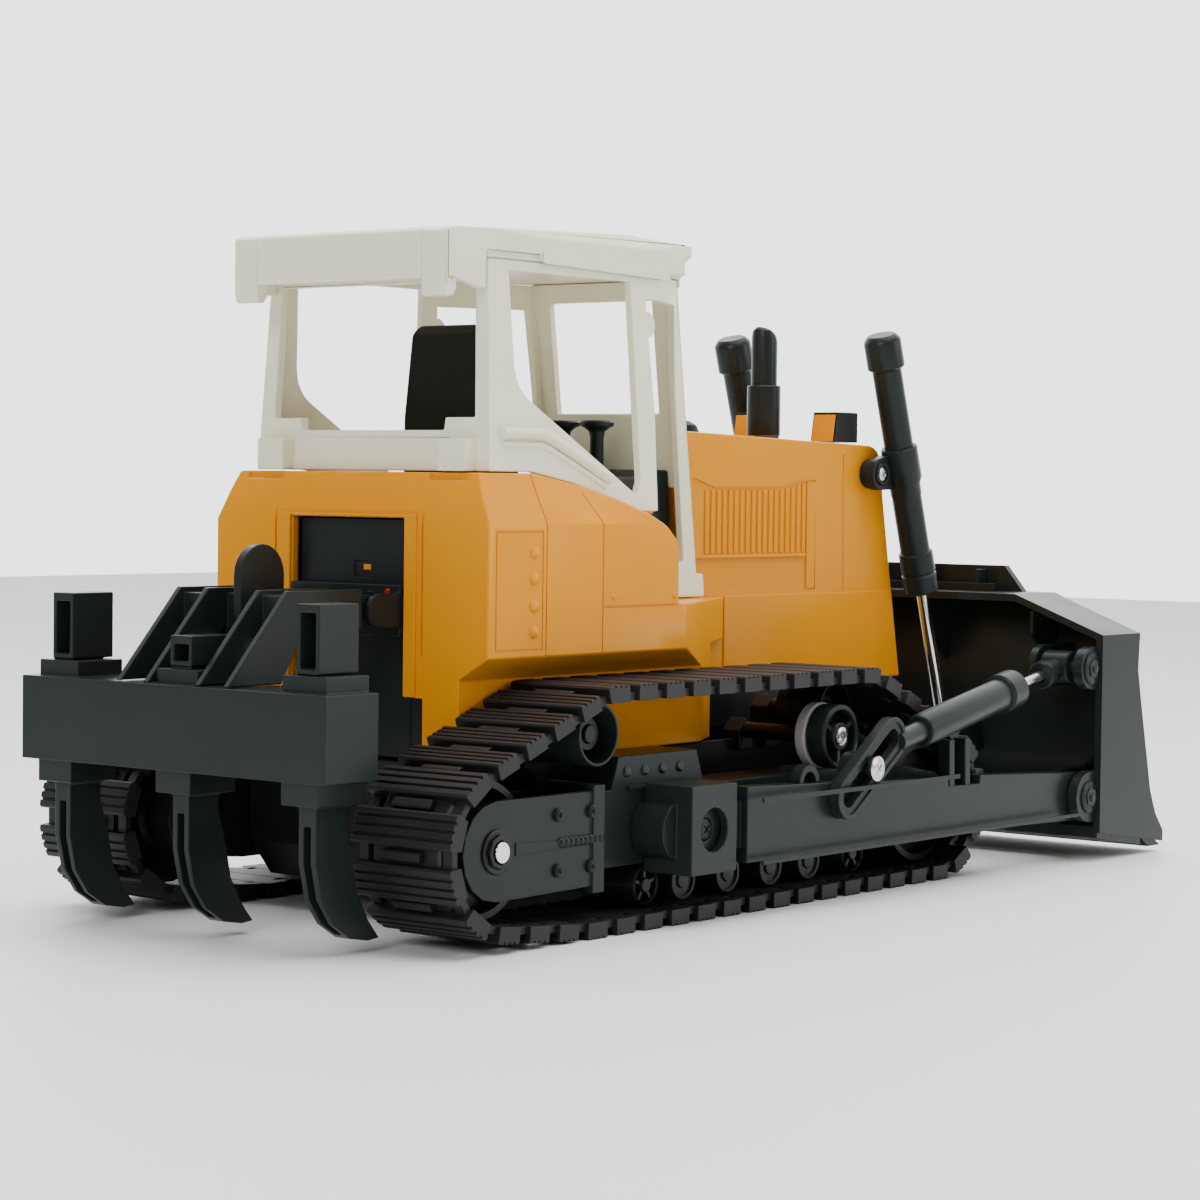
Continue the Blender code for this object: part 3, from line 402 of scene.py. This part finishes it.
def spoked(data, centre, side, near, far, radius, hub, rim, spokes, bar):
    """A wheel's face: a rim, a hub and flat spokes between them, all sunk behind the rim."""
    start = (centre.x, 0, centre.z)
    along = (0, side, 0)
    turned(data, start, along, [(near, radius - rim), (near, radius), (far - 0.4, radius),
            (far, radius - 0.4),
                                (far, radius - rim + 0.3), (far - 0.4, radius - rim)])
    turned(data, start, along, [(near, 0), (near, hub), (far - 0.3, hub), (far, hub - 0.3), (far, 0)],
            32)
    for i in range(spokes):
        turn = 2 * math.pi * (i + 0.25) / spokes
        out = Vector((math.cos(turn), 0, math.sin(turn)))
        wide = Vector((-out.z, 0, out.x)) * bar / 2
        ends = [centre + out * (hub - 0.5), centre + out * (radius - rim + 0.4)]
        loops = []
        for y in (side * near, side * (far - 0.8)):
            loops.append([Vector((p.x, y, p.z)) for p in (ends[0] - wide, ends[0] + wide,
                    ends[1] + wide, ends[1] - wide)])
        loft(data, loops)


def screw_head(data, centre, along, radius, height=1.0):
    """A pan head with a cross recess, as a ring of wedges round the cross."""
    along = Vector(along).normalized()
    turned(data, centre, along, [(0, 0), (0, radius), (height * 0.5, radius),
            (height * 0.85, radius * 0.8),
                                 (height, radius * 0.5), (height * 0.4, radius * 0.42), (height * 0.4,
                                 0)], 32)
    across = along.orthogonal().normalized()
    third = along.cross(across)
    for first, second in ((1, 1), (1, -1), (-1, 1), (-1, -1)):
        corner = Vector(centre) + along * height * 0.3
        inner, outer = radius * 0.1, radius * 0.48
        shape = [corner + across * first * a + third * second * b
                 for a, b in ((inner, inner), (outer, inner), (outer * 0.8, outer * 0.8),
                         (inner, outer))]
        loft(data, [shape, [p + along * height * 0.62 for p in shape]])


def make_wheels(word, side):
    centre = SPROCKET
    along = (0, side, 0)
    data = bmesh.new()
    turned(data, (centre.x, 0, centre.z), along,
           [(52, 3.4), (56, 9), (52, 16.5), (52, 19.5), (52.3, 19.8), (70.7, 19.8), (71, 19.5),
           (71, 17.6), (66, 16.6),
            (66, 9), (71, 7.4), (71, 3.4)], 72)
    piece(f"sprocket_face_{word}", data, BLACK, f"sprocket_{word}", 0, stands_for=[f"sprocket_{word}"])
    data = bmesh.new()
    rod(data, (centre.x, side * 43, centre.z), along, 36.3, 3.0)
    made = piece(f"axle_{word}", data, STEEL, f"sprocket_{word}", 0.3,
            stands_for=[f"drive_axle_{word}"])
    made.modifiers["rounded"].segments = 3
    data = bmesh.new()
    turned(data, (IDLER.x, 0, IDLER.z), along,
           [(52, 4.4), (56, 9), (52, 16.5), (52, 19.6), (52.3, 19.9), (70.7, 19.9), (71, 19.6),
           (71, 17.6), (66.5, 16.6),
            (66.5, 9), (71, 7.6), (71, 4.4)], 72)
    piece(f"idler_face_{word}", data, BLACK, f"idler_{word}", 0, stands_for=[f"idler_{word}"])
    for place, centre, near, far in (("rear", REAR_CARRIER, 52, 75), ("front", FRONT_CARRIER, 50, 67)):
        data = bmesh.new()
        web = near + 0.35 * (far - near)
        turned(data, (centre.x, 0, centre.z), along,
               [(web, 2.9), (far - 4, 2.9), (far - 4, 4.6), (web + 2, 4.8), (web + 2, 7.9), (far, 8.3),
               (far, 9.0),
                (far - 0.3, 9.2), (near, 9.2), (near, 8.0), (web, 7.9)], 56)
        node = f"carrier_roller_{word}_{place}"
        piece(f"carrier_cup_{word}_{place}", data, GREY if place == "rear" else BLACK,
                f"carrier_{place}_{word}", 0,
              stands_for=[node])
    data = bmesh.new()
    start = (RING_WHEEL.x, 0, RING_WHEEL.z)
    turned(data, start, along, [(68.5, 3.2), (68.5, 9.9), (69.0, 10.4), (72.0, 10.4), (72.4, 10.0),
            (72.4, 3.2)], 64)
    piece(f"ring_disc_{word}", data, WHITE, f"ring_wheel_{word}", 0, stands_for=[f"ring_wheel_{word}"])
    data = bmesh.new()
    turned(data, start, along, [(72.7, 3.0), (72.7, 9.6), (73.2, 10.1), (74.6, 10.1), (74.6, 3.0)], 64)
    spoked(data, RING_WHEEL, side, 74, 79.5, 10.2, 4.4, 1.9, 3, 1.5)
    piece(f"ring_hub_{word}", data, GREY, f"ring_wheel_{word}", 0.15)
    data = bmesh.new()
    screw_head(data, (RING_WHEEL.x, side * 79.4, RING_WHEEL.z), along, 3.0, 1.0)
    piece(f"ring_screw_{word}", data, SCREW, f"ring_wheel_{word}", 0)
    for place, centre in (("rear", ROAD_REAR), ("front", ROAD_FRONT)):
        data = bmesh.new()
        turned(data, (centre.x, 0, centre.z), along, [(58.5, 2.2), (58.5, 6), (69, 6), (69, 2.2)], 40)
        spoked(data, centre, side, 68.5, 71.9, 6.0, 2.2, 0.9, 5, 1.1)
        piece(f"road_wheel_{word}_{place}", data, GREY, f"road_{place}_{word}", 0.1,
              stands_for=[f"road_roller_{word}_{place}"])


# Cylinders -------------------------------------------------------------------------------


def make_lift(word, side):
    """A lift cylinder: barrel with its collars on one body, plated rod and eye on the other."""
    foot = Vector((152, side * pivot(f"lift_{word}_swing").y * side, 42))
    back = Vector(JOINTS[f"lift_{word}_slide"]["axis"]).normalized()
    reach = math.dist((106.8, 184), (152, 42))
    top = foot + back * reach
    data = bmesh.new()
    turned(data, top, -back,
           [(2.6, 0), (2.6, 4.6), (3.0, 5.2), (4.4, 6.3), (5.0, 6.5), (14.0, 6.5), (14.6, 6.0),
           (14.6, 5.1), (43, 5.1),
            (43, 6.0), (43.5, 6.4), (54.6, 6.4), (56.6, 5.5), (60.4, 5.4), (60.4, 5.2), (81.4,
            5.2), (81.6, 5.7), (82, 6.0),
            (88.6, 6.1), (89.0, 5.7), (89.6, 5.7), (90, 6.1), (95.8, 6.1), (96.3, 5.8), (96.3, 2.6), (6,
            2.6), (6, 0)],
           48)
    hub = pivot(f"lift_{word}_swing")
    inner, outer = abs(hub.y) - 4.4, abs(hub.y) - 0.8
    ear = arc((hub.x, hub.z), 5.6, 100, 280, 20) + [(hub.x + 9.5, hub.z - 5.2), (hub.x + 6.5, hub.z + 7)]
    prism(data, ear, "y", *span(side, inner, outer))
    start = (hub.x, side * outer, hub.z)
    turned(data, start, (0, side, 0), [(-0.2, 2.8), (-0.2, 4.0), (0.5, 4.0), (0.8, 3.7), (0.8, 2.8)], 40)
    piece(f"lift_tube_{word}", data, GREY, f"lift_barrel_{word}", 0, 30,
            stands_for=[f"lift_barrel_{word}"])
    # Three flat black discs on the ear: painted shade standing in for the dark inside of small pockets.
    data = bmesh.new()
    for along, up in ((5.9, 4.6), (6.6, -3.0), (1.6, 5.0)):
        rod(data, (hub.x + along, side * (outer - 0.3), hub.z + up), (0, side, 0), 0.38, 0.9, 16)
    piece(f"lift_pocket_painted_shade_{word}", data, BLACK, f"lift_barrel_{word}", 0)
    data = bmesh.new()
    screw_head(data, (hub.x, side * (outer - 0.2), hub.z), (0, side, 0), 2.5, 0.9)
    piece(f"lift_screw_{word}", data, SCREW, f"lift_barrel_{word}", 0)
    data = bmesh.new()
    rod(data, top - back * 52, -back, reach - 56, 2.2)
    turned(data, (foot.x, foot.y - 2.6, foot.z), (0, 1, 0),
            [(0, 3.5), (0, 4.9), (0.3, 5.1), (4.9, 5.1), (5.2, 4.9),
                                                            (5.2, 3.5)], 40)
    piece(f"lift_shaft_{word}", data, STEEL, f"lift_rod_{word}", 0, stands_for=[f"lift_rod_{word}"])


def make_brace(word, side):
    """A tilt brace: a slotted link with a raised rim, a barrel, and a plated rod with its eye."""
    start = Vector((26, side * 91.3, 48))
    end = pivot(f"brace_{word}_swing")
    along = (end - start).normalized()
    length = (end - start).length
    body = f"brace_{word}"
    data = bmesh.new()
    turned(data, start, along,
           [(4, 0), (4, 3.4), (20, 3.4), (20, 4.6), (20.4, 5.0), (22.4, 5.4), (77, 5.4), (77.2, 6.2),
           (77.6, 6.7),
            (86.6, 6.7), (87, 6.3), (87.2, 5.6), (88, 5.4), (88, 2.35), (40, 2.35), (40, 0)], 48)
    piece(f"brace_tube_{word}", data, GREY, body, 0, 30, stands_for=[f"tilt_barrel_{word}"])
    low, high = Vector((1.5, 0, 33)), Vector((26, 0, 50))
    lean = math.degrees(math.atan2(high.z - low.z, high.x - low.x))

    def ring(radius, steps=14):
        ends = ((high, lean - 90), (low, lean + 90))
        return [p for c, first in ends for p in arc((c.x, c.z), radius, first, first + 180, steps)]

    data = bmesh.new()
    for outer, inner, near, far in ((6.4, 3.0, 89.5, 92.6), (6.7, 5.2, 89.3, 93.2)):
        loops = [[(x, side * y, z) for x, z in ring(r)]
                 for r, y in ((outer, near), (outer, far), (inner, far), (inner, near))]
        loft(data, loops, closed=True)
    piece(f"slot_link_{word}", data, GREY, body, 0.25)
    data = bmesh.new()
    rod(data, start + along * 42, along, length - 46, 2.0)
    piece(f"brace_rod_{word}", data, STEEL, body, 0, stands_for=[f"tilt_rod_{word}"])
    data = bmesh.new()
    turned(data, start, along, [(length - 16, 2.1), (length - 16, 4.2), (length - 15.4, 4.8),
            (length - 12.2, 4.8),
                                (length - 11.6, 4.2), (length - 10.5, 3.6), (length - 4,
                                3.6), (length - 4, 2.1)], 40)
    turned(data, (end.x, end.y - 5.2, end.z), (0, 1, 0), [(0, 2.8), (0, 5.3), (0.4, 5.7), (10.0, 5.7),
            (10.4, 5.3),
                                                          (10.4, 2.8)], 40)
    piece(f"brace_eye_{word}", data, GREY, body, 0, 30)


def make_cylinders():
    for word, side in SIDES:
        make_lift(word, side)
        make_brace(word, side)


# The blade and its push frame ------------------------------------------------------------


def hex_bolt(data, centre, side, washer, flats, height):
    """A moulded bolt: a washer, a hexagon head and a small dome in its middle."""
    turned(data, centre, (0, side, 0), [(0, 0), (0, washer), (0.9, washer), (1.1, washer - 0.3),
            (1.1, 0)], 40)
    turned(data, centre, (0, side, 0), [(0.9, 0), (0.9, flats), (height, flats), (height, 0)], 6)
    turned(data, centre, (0, side, 0), [(height - 0.2, 0), (height - 0.2, flats * 0.5),
            (height + 0.5, flats * 0.4),
                                        (height + 0.8, 0)], 24)


def make_blade():
    soften("blade", GREY, 0.35, merge=False)
    data = bmesh.new()
    blade_pin = pivot("blade_pitch")
    brace_pin = pivot("brace_left_swing")
    for _, side in SIDES:
        hex_bolt(data, (blade_pin.x, side * 93.0, blade_pin.z), side, 5.6, 3.4, 1.6)
        hex_bolt(data, (brace_pin.x, side * 93.0, brace_pin.z), side, 5.6, 3.4, 1.6)
    piece("blade_bolts", data, GREY, "blade", 0.15)
    data = bmesh.new()
    for y in (-34, -12, 12, 34):
        block(data, (169.8, 176.6), (y - 0.6, y + 0.6), (91.6, 99.6))
    for y in (-66, -22, 22, 66):
        top = 86 if abs(y) > 60 else 88.6
        outline = [(154.5, top), (154.5, 78), (168.8, 66), (172, 66), (172, top)]
        prism(data, outline, "y", y - 0.7, y + 0.7)
    block(data, (169.6, 170.8), (-41.2, 41.2), (91.6, 94.6))
    piece("blade_ribs", data, GREY, "blade", 0.15)


def make_push_frame():
    for word, side in SIDES:
        soften(f"push_arm_{word}", GREY, 0.35)
        data = bmesh.new()
        low, high = box(f"push_arm_{word}")
        outer = high.y if side > 0 else -low.y
        block(data, (-47.4, 62), span(side, outer - 0.3, outer + 0.5), (35.2, 36.6))
        block(data, (-47.4, 140), span(side, outer - 0.3, outer + 0.5), (16.8, 18.0))
        eye = arc((-14, 38.4), 5.4, 0, 180, 16) + arc((-14, 38.4), 3.4, 180, 0, 16)
        prism(data, eye, "y", *span(side, 84.5, 88.5))
        piece(f"arm_beads_{word}", data, GREY, "push_frame", 0.2)
        data = bmesh.new()
        screw_head(data, (13.8, side * 94.4, 41.4), (0, side, 0), 3.9, 1.1)
        rod(data, (13.8, side * 88, 41.4), (0, side, 0), 6.4, 1.9)
        piece(f"slot_screw_{word}", data, SCREW, "push_frame", 0)


# Track frames, guard plates and trunnions ------------------------------------------------


def make_frames():
    for word, side in SIDES:
        for node in (f"track_frame_{word}", f"trunnion_box_{word}", f"guard_plate_{word}"):
            soften(node, GREY, 0.35)
        soften(f"gearbox_{word}", BLACK, 0.4)
        soften(f"drive_motor_{word}", STEEL, 0.2)
        face = 76.8
        data = bmesh.new()
        centre = (SPROCKET.x, side * face, SPROCKET.z)
        turned(data, centre, (0, side, 0), [(-0.3, 3.5), (-0.3, 6.3), (0.5, 6.3), (0.8, 6.0),
                (0.8, 3.5)], 48)
        turned(data, centre, (0, side, 0), [(0.5, 3.5), (0.5, 4.9), (1.6, 4.9), (1.9, 4.6), (1.9, 3.5)],
                8)
        piece(f"axle_collar_{word}", data, BLACK, "chassis", 0.15)
        data = bmesh.new()
        for x in (-121.6, -106.7):
            for z in (20.3, 36.0):
                hex_bolt(data, (x, side * face, z), side, 1.9, 1.7, 1.4)
        prism(data, [(-140, 29.6), (-121, 28.6), (-121, 26.6), (-140, 26.0)], "y",
                *span(side, face - 0.2, face + 0.35))
        piece(f"guard_bolts_{word}", data, GREY, "chassis", 0.12)
        data = bmesh.new()
        for i in range(9):
            x = -120 + 17.4 * i / 8
            turned(data, (x, side * (face - 0.4), 28), (0, side, 0.0),
                   [(0, 0), (0, 1.7), (0.9, 1.5), (1.5, 0.9), (1.7, 0)], 16)
        piece(f"weld_{word}", data, GREY, "chassis", 0)
        data = bmesh.new()
        for i, x in enumerate((-84, -75.5, -67, -58.5)):
            turned(data, (x, side * 71.8, 45.4), (0, side, 0.35),
                    [(0, 0), (0, 1.8), (0.8, 1.4), (1.1, 0)], 24)
        block(data, (-84, -56), span(side, 71.8, 73.2), (40.2, 41.2))
        for x in (-56.5, -34.0, -11.5, 9.2):
            centre = (x, side * 71.8, ROAD_REAR.z)
            turned(data, centre, (0, side, 0), [(0, 4.6), (0, 6.0), (0.8, 5.8), (0.8, 4.8)], 40)
            turned(data, centre, (0, side, 0), [(0, 0), (0, 2.6), (0.7, 2.4), (0.9, 0)], 32)
        piece(f"frame_details_{word}", data, GREY, "chassis", 0.1)
        data = bmesh.new()
        screw_head(data, (-65, side * 86.2, 28.2), (0, side, 0), 3.2, 1.0)
        piece(f"trunnion_screw_{word}", data, BLACK, "chassis", 0)


def make_body():
    """The yellow shell with its panel lines, side frames, rivets, rear frame and latch."""
    cutters = []
    for word, side in SIDES:
        face, out = side * BODY_SIDE, (0, side, 0)
        lean = Vector((0, side * 8.8, 4.2))
        for name, low, high in (("front", -74, -79), ("rear", -100.4, -100.4)):
            cutters.append(seam(f"{name}_seam_{word}", [(low, face, 78), (low, face, 117.2)], out))
            rise = [(low, face, 117.2), (high, side * 50.3, 126)]
            if name == "rear":
                rise.append((high, side * 47.6, 131.9))
            cutters.append(seam(f"{name}_bevel_{word}", rise, lean))
        frame_line = [(-123, face, 81), (-123, face, 115), (-102.2, face, 115), (-102.2, face, 81)]
        cutters.append(seam(f"side_frame_{word}", frame_line, out, 0.6, 0.3, True))
        cutters.append(seam(f"ledge_{word}", [(-74.5, face, 92.5), (-31, face, 92.5)], out, 0.7, 0.5))
    rear = (-126.4, 0, 0)
    route = [(rear[0], y, z) for y, z in ((29.4, 78.8), (29.4, 120.3), (-29.4, 120.3), (-29.4, 78.8))]
    cutters.append(seam("door_line", route, (-1, 0, 0), 0.8, 0.6))
    for word, side in SIDES:
        data = bmesh.new()
        block(data, (-130, -121), span(side, 20, 29.9), (40, 66.5))
        cutters.append(cutter(f"low_step_{word}", data))
    soften("body_shell", YELLOW, 0.6, *cutters)
    data = bmesh.new()
    for _, side in SIDES:
        for z in (109, 101.5, 93.5, 86):
            turned(data, (-106.2, side * (BODY_SIDE - 0.1), z), (0, side, 0),
                    [(0, 0), (0, 1.9), (0.6, 1.7), (1.0, 1.1), (1.15, 0)], 24)
        for x in (-69, -39):
            turned(data, (x, side * (BODY_SIDE - 0.1), 95.4), (0, side, 0),
                    [(0, 0), (0, 1.2), (0.5, 0.8), (0.65, 0)], 20)
    piece("fender_rivets", data, YELLOW, "chassis", 0)
    data = bmesh.new()
    outer = [(-27.3, 66.7), (-27.3, 119.6), (27.3, 119.6), (27.3, 66.7)]
    inner = [(22.9, 66.7), (22.9, 118.6), (-22.9, 118.6), (-22.9, 66.7)]
    prism(data, outer + inner, "x", -127.3, -126.3)
    piece("door_frame", data, YELLOW, "chassis", 0.3)
    data = bmesh.new()
    for _, side in SIDES:
        block(data, (-122.8, -120.6), span(side, 22.3, 29.6), (48.4, 66.2))
    block(data, (-122.6, -120.6), (-8.5, 3.5), (98.5, 108))
    piece("panel_feet", data, BLACK, "chassis", 0)
    data = bmesh.new()
    block(data, (-123.1, -122.4), (-6.2, -3.4), (103.0, 104.6))
    piece("latch_tab", data, YELLOW, "chassis", 0)


def make_hood():
    """The hood with its grille panels, ribs, folds and the proud skirt below the belt line."""
    cutters = []
    outline = [(9.3, 131.5), (21.4, 128.3), (58.1, 128.5), (69.8, 131), (79, 131), (79.7, 93.8),
            (9.3, 93.8)]
    for word, side in SIDES:
        data = bmesh.new()
        prism(data, outline, "y", *span(side, HOOD_SIDE - 0.6, HOOD_SIDE + 1))
        cutters.append(cutter(f"grille_{word}", data))
        edge = side * HOOD_SIDE
        fold = [(95.8, edge, 140), (95.8, edge, 131), (97.3, edge, 64)]
        cutters.append(seam(f"fold_{word}", fold, (0, side, 0), 0.5, 0.3))
    soften("hood", YELLOW, 0.6, *cutters)
    data = bmesh.new()
    ribs = 18
    for _, side in SIDES:
        for i in range(ribs):
            x = 17.4 + (72.6 - 17.4) * i / (ribs - 1)
            high = 127.4 if x < 60 else 127.4 + (x - 60) * 0.2
            prism(data, [(x - 0.95, 106.6), (x + 0.95, 106.6), (x + 0.95, high), (x - 0.95, high)], "y",
                  *span(side, 24.2, 25.0))
    piece("grille_ribs", data, YELLOW, "chassis", 0.3)
    data = bmesh.new()
    for _, side in SIDES:
        block(data, (9.6, 73.4), span(side, 24.2, 25.4), (105, 106.2))
        block(data, (74.4, 79.4), span(side, 24.2, 25.0), (94.2, 130.6))
        skirt = [(26.8, 62.4), (26.8, 92.6), (126.5, 92.6), (132.3, 62.4)]
        prism(data, skirt, "y", *span(side, 24.8, 25.5))
    piece("hood_trim", data, YELLOW, "chassis", 0.3)
    low, high = box("exhaust_pipe")
    middle = (low.x + high.x) / 2
    data = bmesh.new()
    rings = [(5.7, 0.3, 0), (5.8, 0.6, 0), (5.8, 17.2, 0), (5.5, 17.6, 0), (4.5, 17.7, 0),
            (4.5, 33.4, 0.30),
             (4.2, 35.2, 0.40), (3.4, 36.2, 0.45), (2.0, 36.7, 0.45)]
    loops = []
    for radius, height, tilt in rings:
        ring = arc((0, 0), radius, 0, 360 - 360 / 40, 39)
        loops.append([(middle + a, b, low.z + height - tilt * a) for a, b in ring])
    loft(data, loops)
    piece("exhaust_stack", data, GREY, "chassis", 0, stands_for=["exhaust_pipe"])
    for word, side in SIDES:
        soften(f"lamp_box_{word}", BLACK, 0.3)
        data = bmesh.new()
        low, high = box(f"lamp_box_{word}")
        face = [(low.x - 0.1, low.z + 0.3), (low.x + 1.6, high.z - 0.9)]
        shell = [face[0], face[1], (face[1][0] - 0.35, face[1][1]), (face[0][0] - 0.35, face[0][1])]
        prism(data, shell, "y", low.y + 0.7, high.y - 0.7)
        piece(f"lamp_panel_{word}", data, YELLOW, "chassis", 0.1)


def make_cab():
    """The ivory cab with its hand rails and mirror knobs."""
    soften("cab_shell", IVORY, 0.5)
    soften("cab_roof", IVORY, 0.6)
    data = bmesh.new()
    for _, side in SIDES:
        top = [(-112, 143.3), (-102, 143.5), (-94, 143.4), (-91, 142.6), (-77, 136.8), (-62.5, 130.4)]
        sweep(data, [(x, side * (wall_at(z) + 0.9), z) for x, z in top], 1.7)
        low = [(-111, 140.2), (-94, 140.2), (-91, 139.4), (-77, 133.8), (-64, 128.2)]
        sweep(data, [(x, side * (wall_at(z) + 0.2), z) for x, z in low], 0.9)
        knob = [(-41.6, 174), (-39.4, 174)] + arc((-40.4, 177.6), 3.8, -60, 60, 10) + [(-39.4, 181.6),
                (-41.6, 181.6)]
        prism(data, knob, "y", *span(side, 41.4, 43.9))
    piece("hand_rails", data, IVORY, "chassis", 0)


def wall_at(z):
    """How far the cab's leaning side wall is off the middle at a height."""
    return 48.8 - (z - 92.9) * 5.6 / 100.7


def make_console():
    """The console and its two T-shaped levers."""
    data = bmesh.new()
    low, high = box("console")
    desk = [(-38, low.z), (-38, 97), (-34, 97), (-31.5, 130.8), (-12, 131.4), (-8, 133.6), (-2.4, 133.6),
            (-1, 112), (-1, low.z)]
    prism(data, desk, "y", low.y, high.y)
    piece("console_desk", data, GREY, "chassis", 0.8, stands_for=["console"])
    data = bmesh.new()
    for _, side in SIDES:
        stick = [(0, 0), (0, 2.3), (14.4, 2.2), (16.4, 2.6), (17.6, 4.0), (18.2, 5.4), (19.3, 5.6),
                (19.9, 5.0), (20, 0)]
        turned(data, (-18.2, side * 7, high.z - 20), (0, 0, 1), stick, 36)
    piece("levers", data, GREY, "chassis", 0)


def make_ripper():
    """Light edges on the ripper's linkage, and the lamp beside it."""
    for node in ("ripper_mount", "ripper_frame", "ripper_beam", "shank_left", "shank_middle",
            "shank_right"):
        soften(node, GREY, 0.35)
    data = bmesh.new()
    turned(data, (-127.5, -17, 97), (-1, 0, 0), [(0, 0), (0, 1.0), (0.5, 0.7), (0.6, 0)], 16)
    piece("rear_lamp", data, RED, "chassis", 0)


def make_plain():
    """The remaining CAD nodes, finished where they stand."""
    soften("chassis_hull", BLACK, 0.5)
    soften("seat", SEAT, 0.8)
    for node in ("rear_panel", "hood_dome", "lift_pivot_tube"):
        soften(node, GREY, 0.35)
    soften("battery_pack", WRAP, 1.0)
    soften("circuit_board", GREEN, 0.1)


# Floor, light and camera -----------------------------------------------------------------


def make_floor():
    data = bmesh.new()
    for x, y in ((-2.4, -2.4), (2.4, -2.4), (2.4, 2.4), (-2.4, 2.4)):
        data.verts.new((x, y, 0))
    data.faces.new(data.verts)
    mesh = bpy.data.meshes.new("floor")
    data.to_mesh(mesh)
    data.free()
    floor = bpy.data.objects.new("floor", mesh)
    mesh.materials.append(moulded("floor", (0.86, 0.86, 0.86), 0.5, 0.005))
    bpy.context.scene.collection.objects.link(floor)


def lamp(name, place, target, size, power):
    light = bpy.data.lights.new(name, "AREA")
    light.shape = "RECTANGLE"
    light.size, light.size_y = size
    light.energy = power
    made = bpy.data.objects.new(name, light)
    made.location = place
    made.rotation_euler = (Vector(target) - Vector(place)).to_track_quat("-Z", "Y").to_euler()
    bpy.context.scene.collection.objects.link(made)


def make_light():
    """A studio that is brightest beyond the machine, with softboxes above and at the side."""
    world = bpy.data.worlds.new("studio")
    world.use_nodes = True
    tree = world.node_tree
    place = tree.nodes.new("ShaderNodeTexCoord")
    ahead = tree.nodes.new("ShaderNodeVectorMath")
    ahead.operation = "DOT_PRODUCT"
    ahead.inputs[1].default_value = (0.76, 0.60, 0.25)
    tree.links.new(place.outputs["Generated"], ahead.inputs[0])
    spread = add_node(tree, "ShaderNodeMapRange", From_Min=0.1, From_Max=0.9, To_Min=0.26, To_Max=2.9)
    tree.links.new(ahead.outputs["Value"], spread.inputs["Value"])
    tree.links.new(spread.outputs["Result"], tree.nodes["Background"].inputs["Strength"])
    tree.nodes["Background"].inputs["Color"].default_value = (1.0, 1.0, 1.0, 1.0)
    bpy.context.scene.world = world
    middle = (0, 0, 0.08)
    lamp("top_softbox", (0.1, -0.2, 1.4), middle, (1.4, 1.4), 28)
    lamp("side_softbox", (0.9, -1.4, 0.6), middle, (0.9, 0.9), 8)
    lamp("rear_softbox", (-1.7, -0.5, 1.0), middle, (0.8, 0.8), 15)


def make_camera():
    """The camera stands behind the machine and to its right, a little above the floor."""
    yaw, pitch, roll = (math.radians(a) for a in (51.592, -2.193, 0.692))
    ahead = Vector((math.sin(yaw) * math.cos(pitch), math.cos(yaw) * math.cos(pitch), math.sin(pitch)))
    right = Vector((math.cos(yaw), -math.sin(yaw), 0))
    up = right.cross(ahead)
    across = math.cos(roll) * right + math.sin(roll) * up
    upright = math.cos(roll) * up - math.sin(roll) * right
    data = bpy.data.cameras.new("camera")
    data.lens, data.sensor_width = 93.27, 36.0
    camera = bpy.data.objects.new("camera", data)
    place = Matrix((across, upright, -ahead)).transposed().to_4x4()
    place.translation = (-0.79646, -0.62611, 0.12986)
    camera.matrix_world = place
    bpy.context.scene.collection.objects.link(camera)
    bpy.context.scene.camera = camera


for word, side in SIDES:
    make_track(word, side)
    make_wheels(word, side)
make_cylinders()
make_blade()
make_push_frame()
make_frames()
make_body()
make_hood()
make_cab()
make_console()
make_ripper()
make_plain()
make_floor()
make_light()
make_camera()
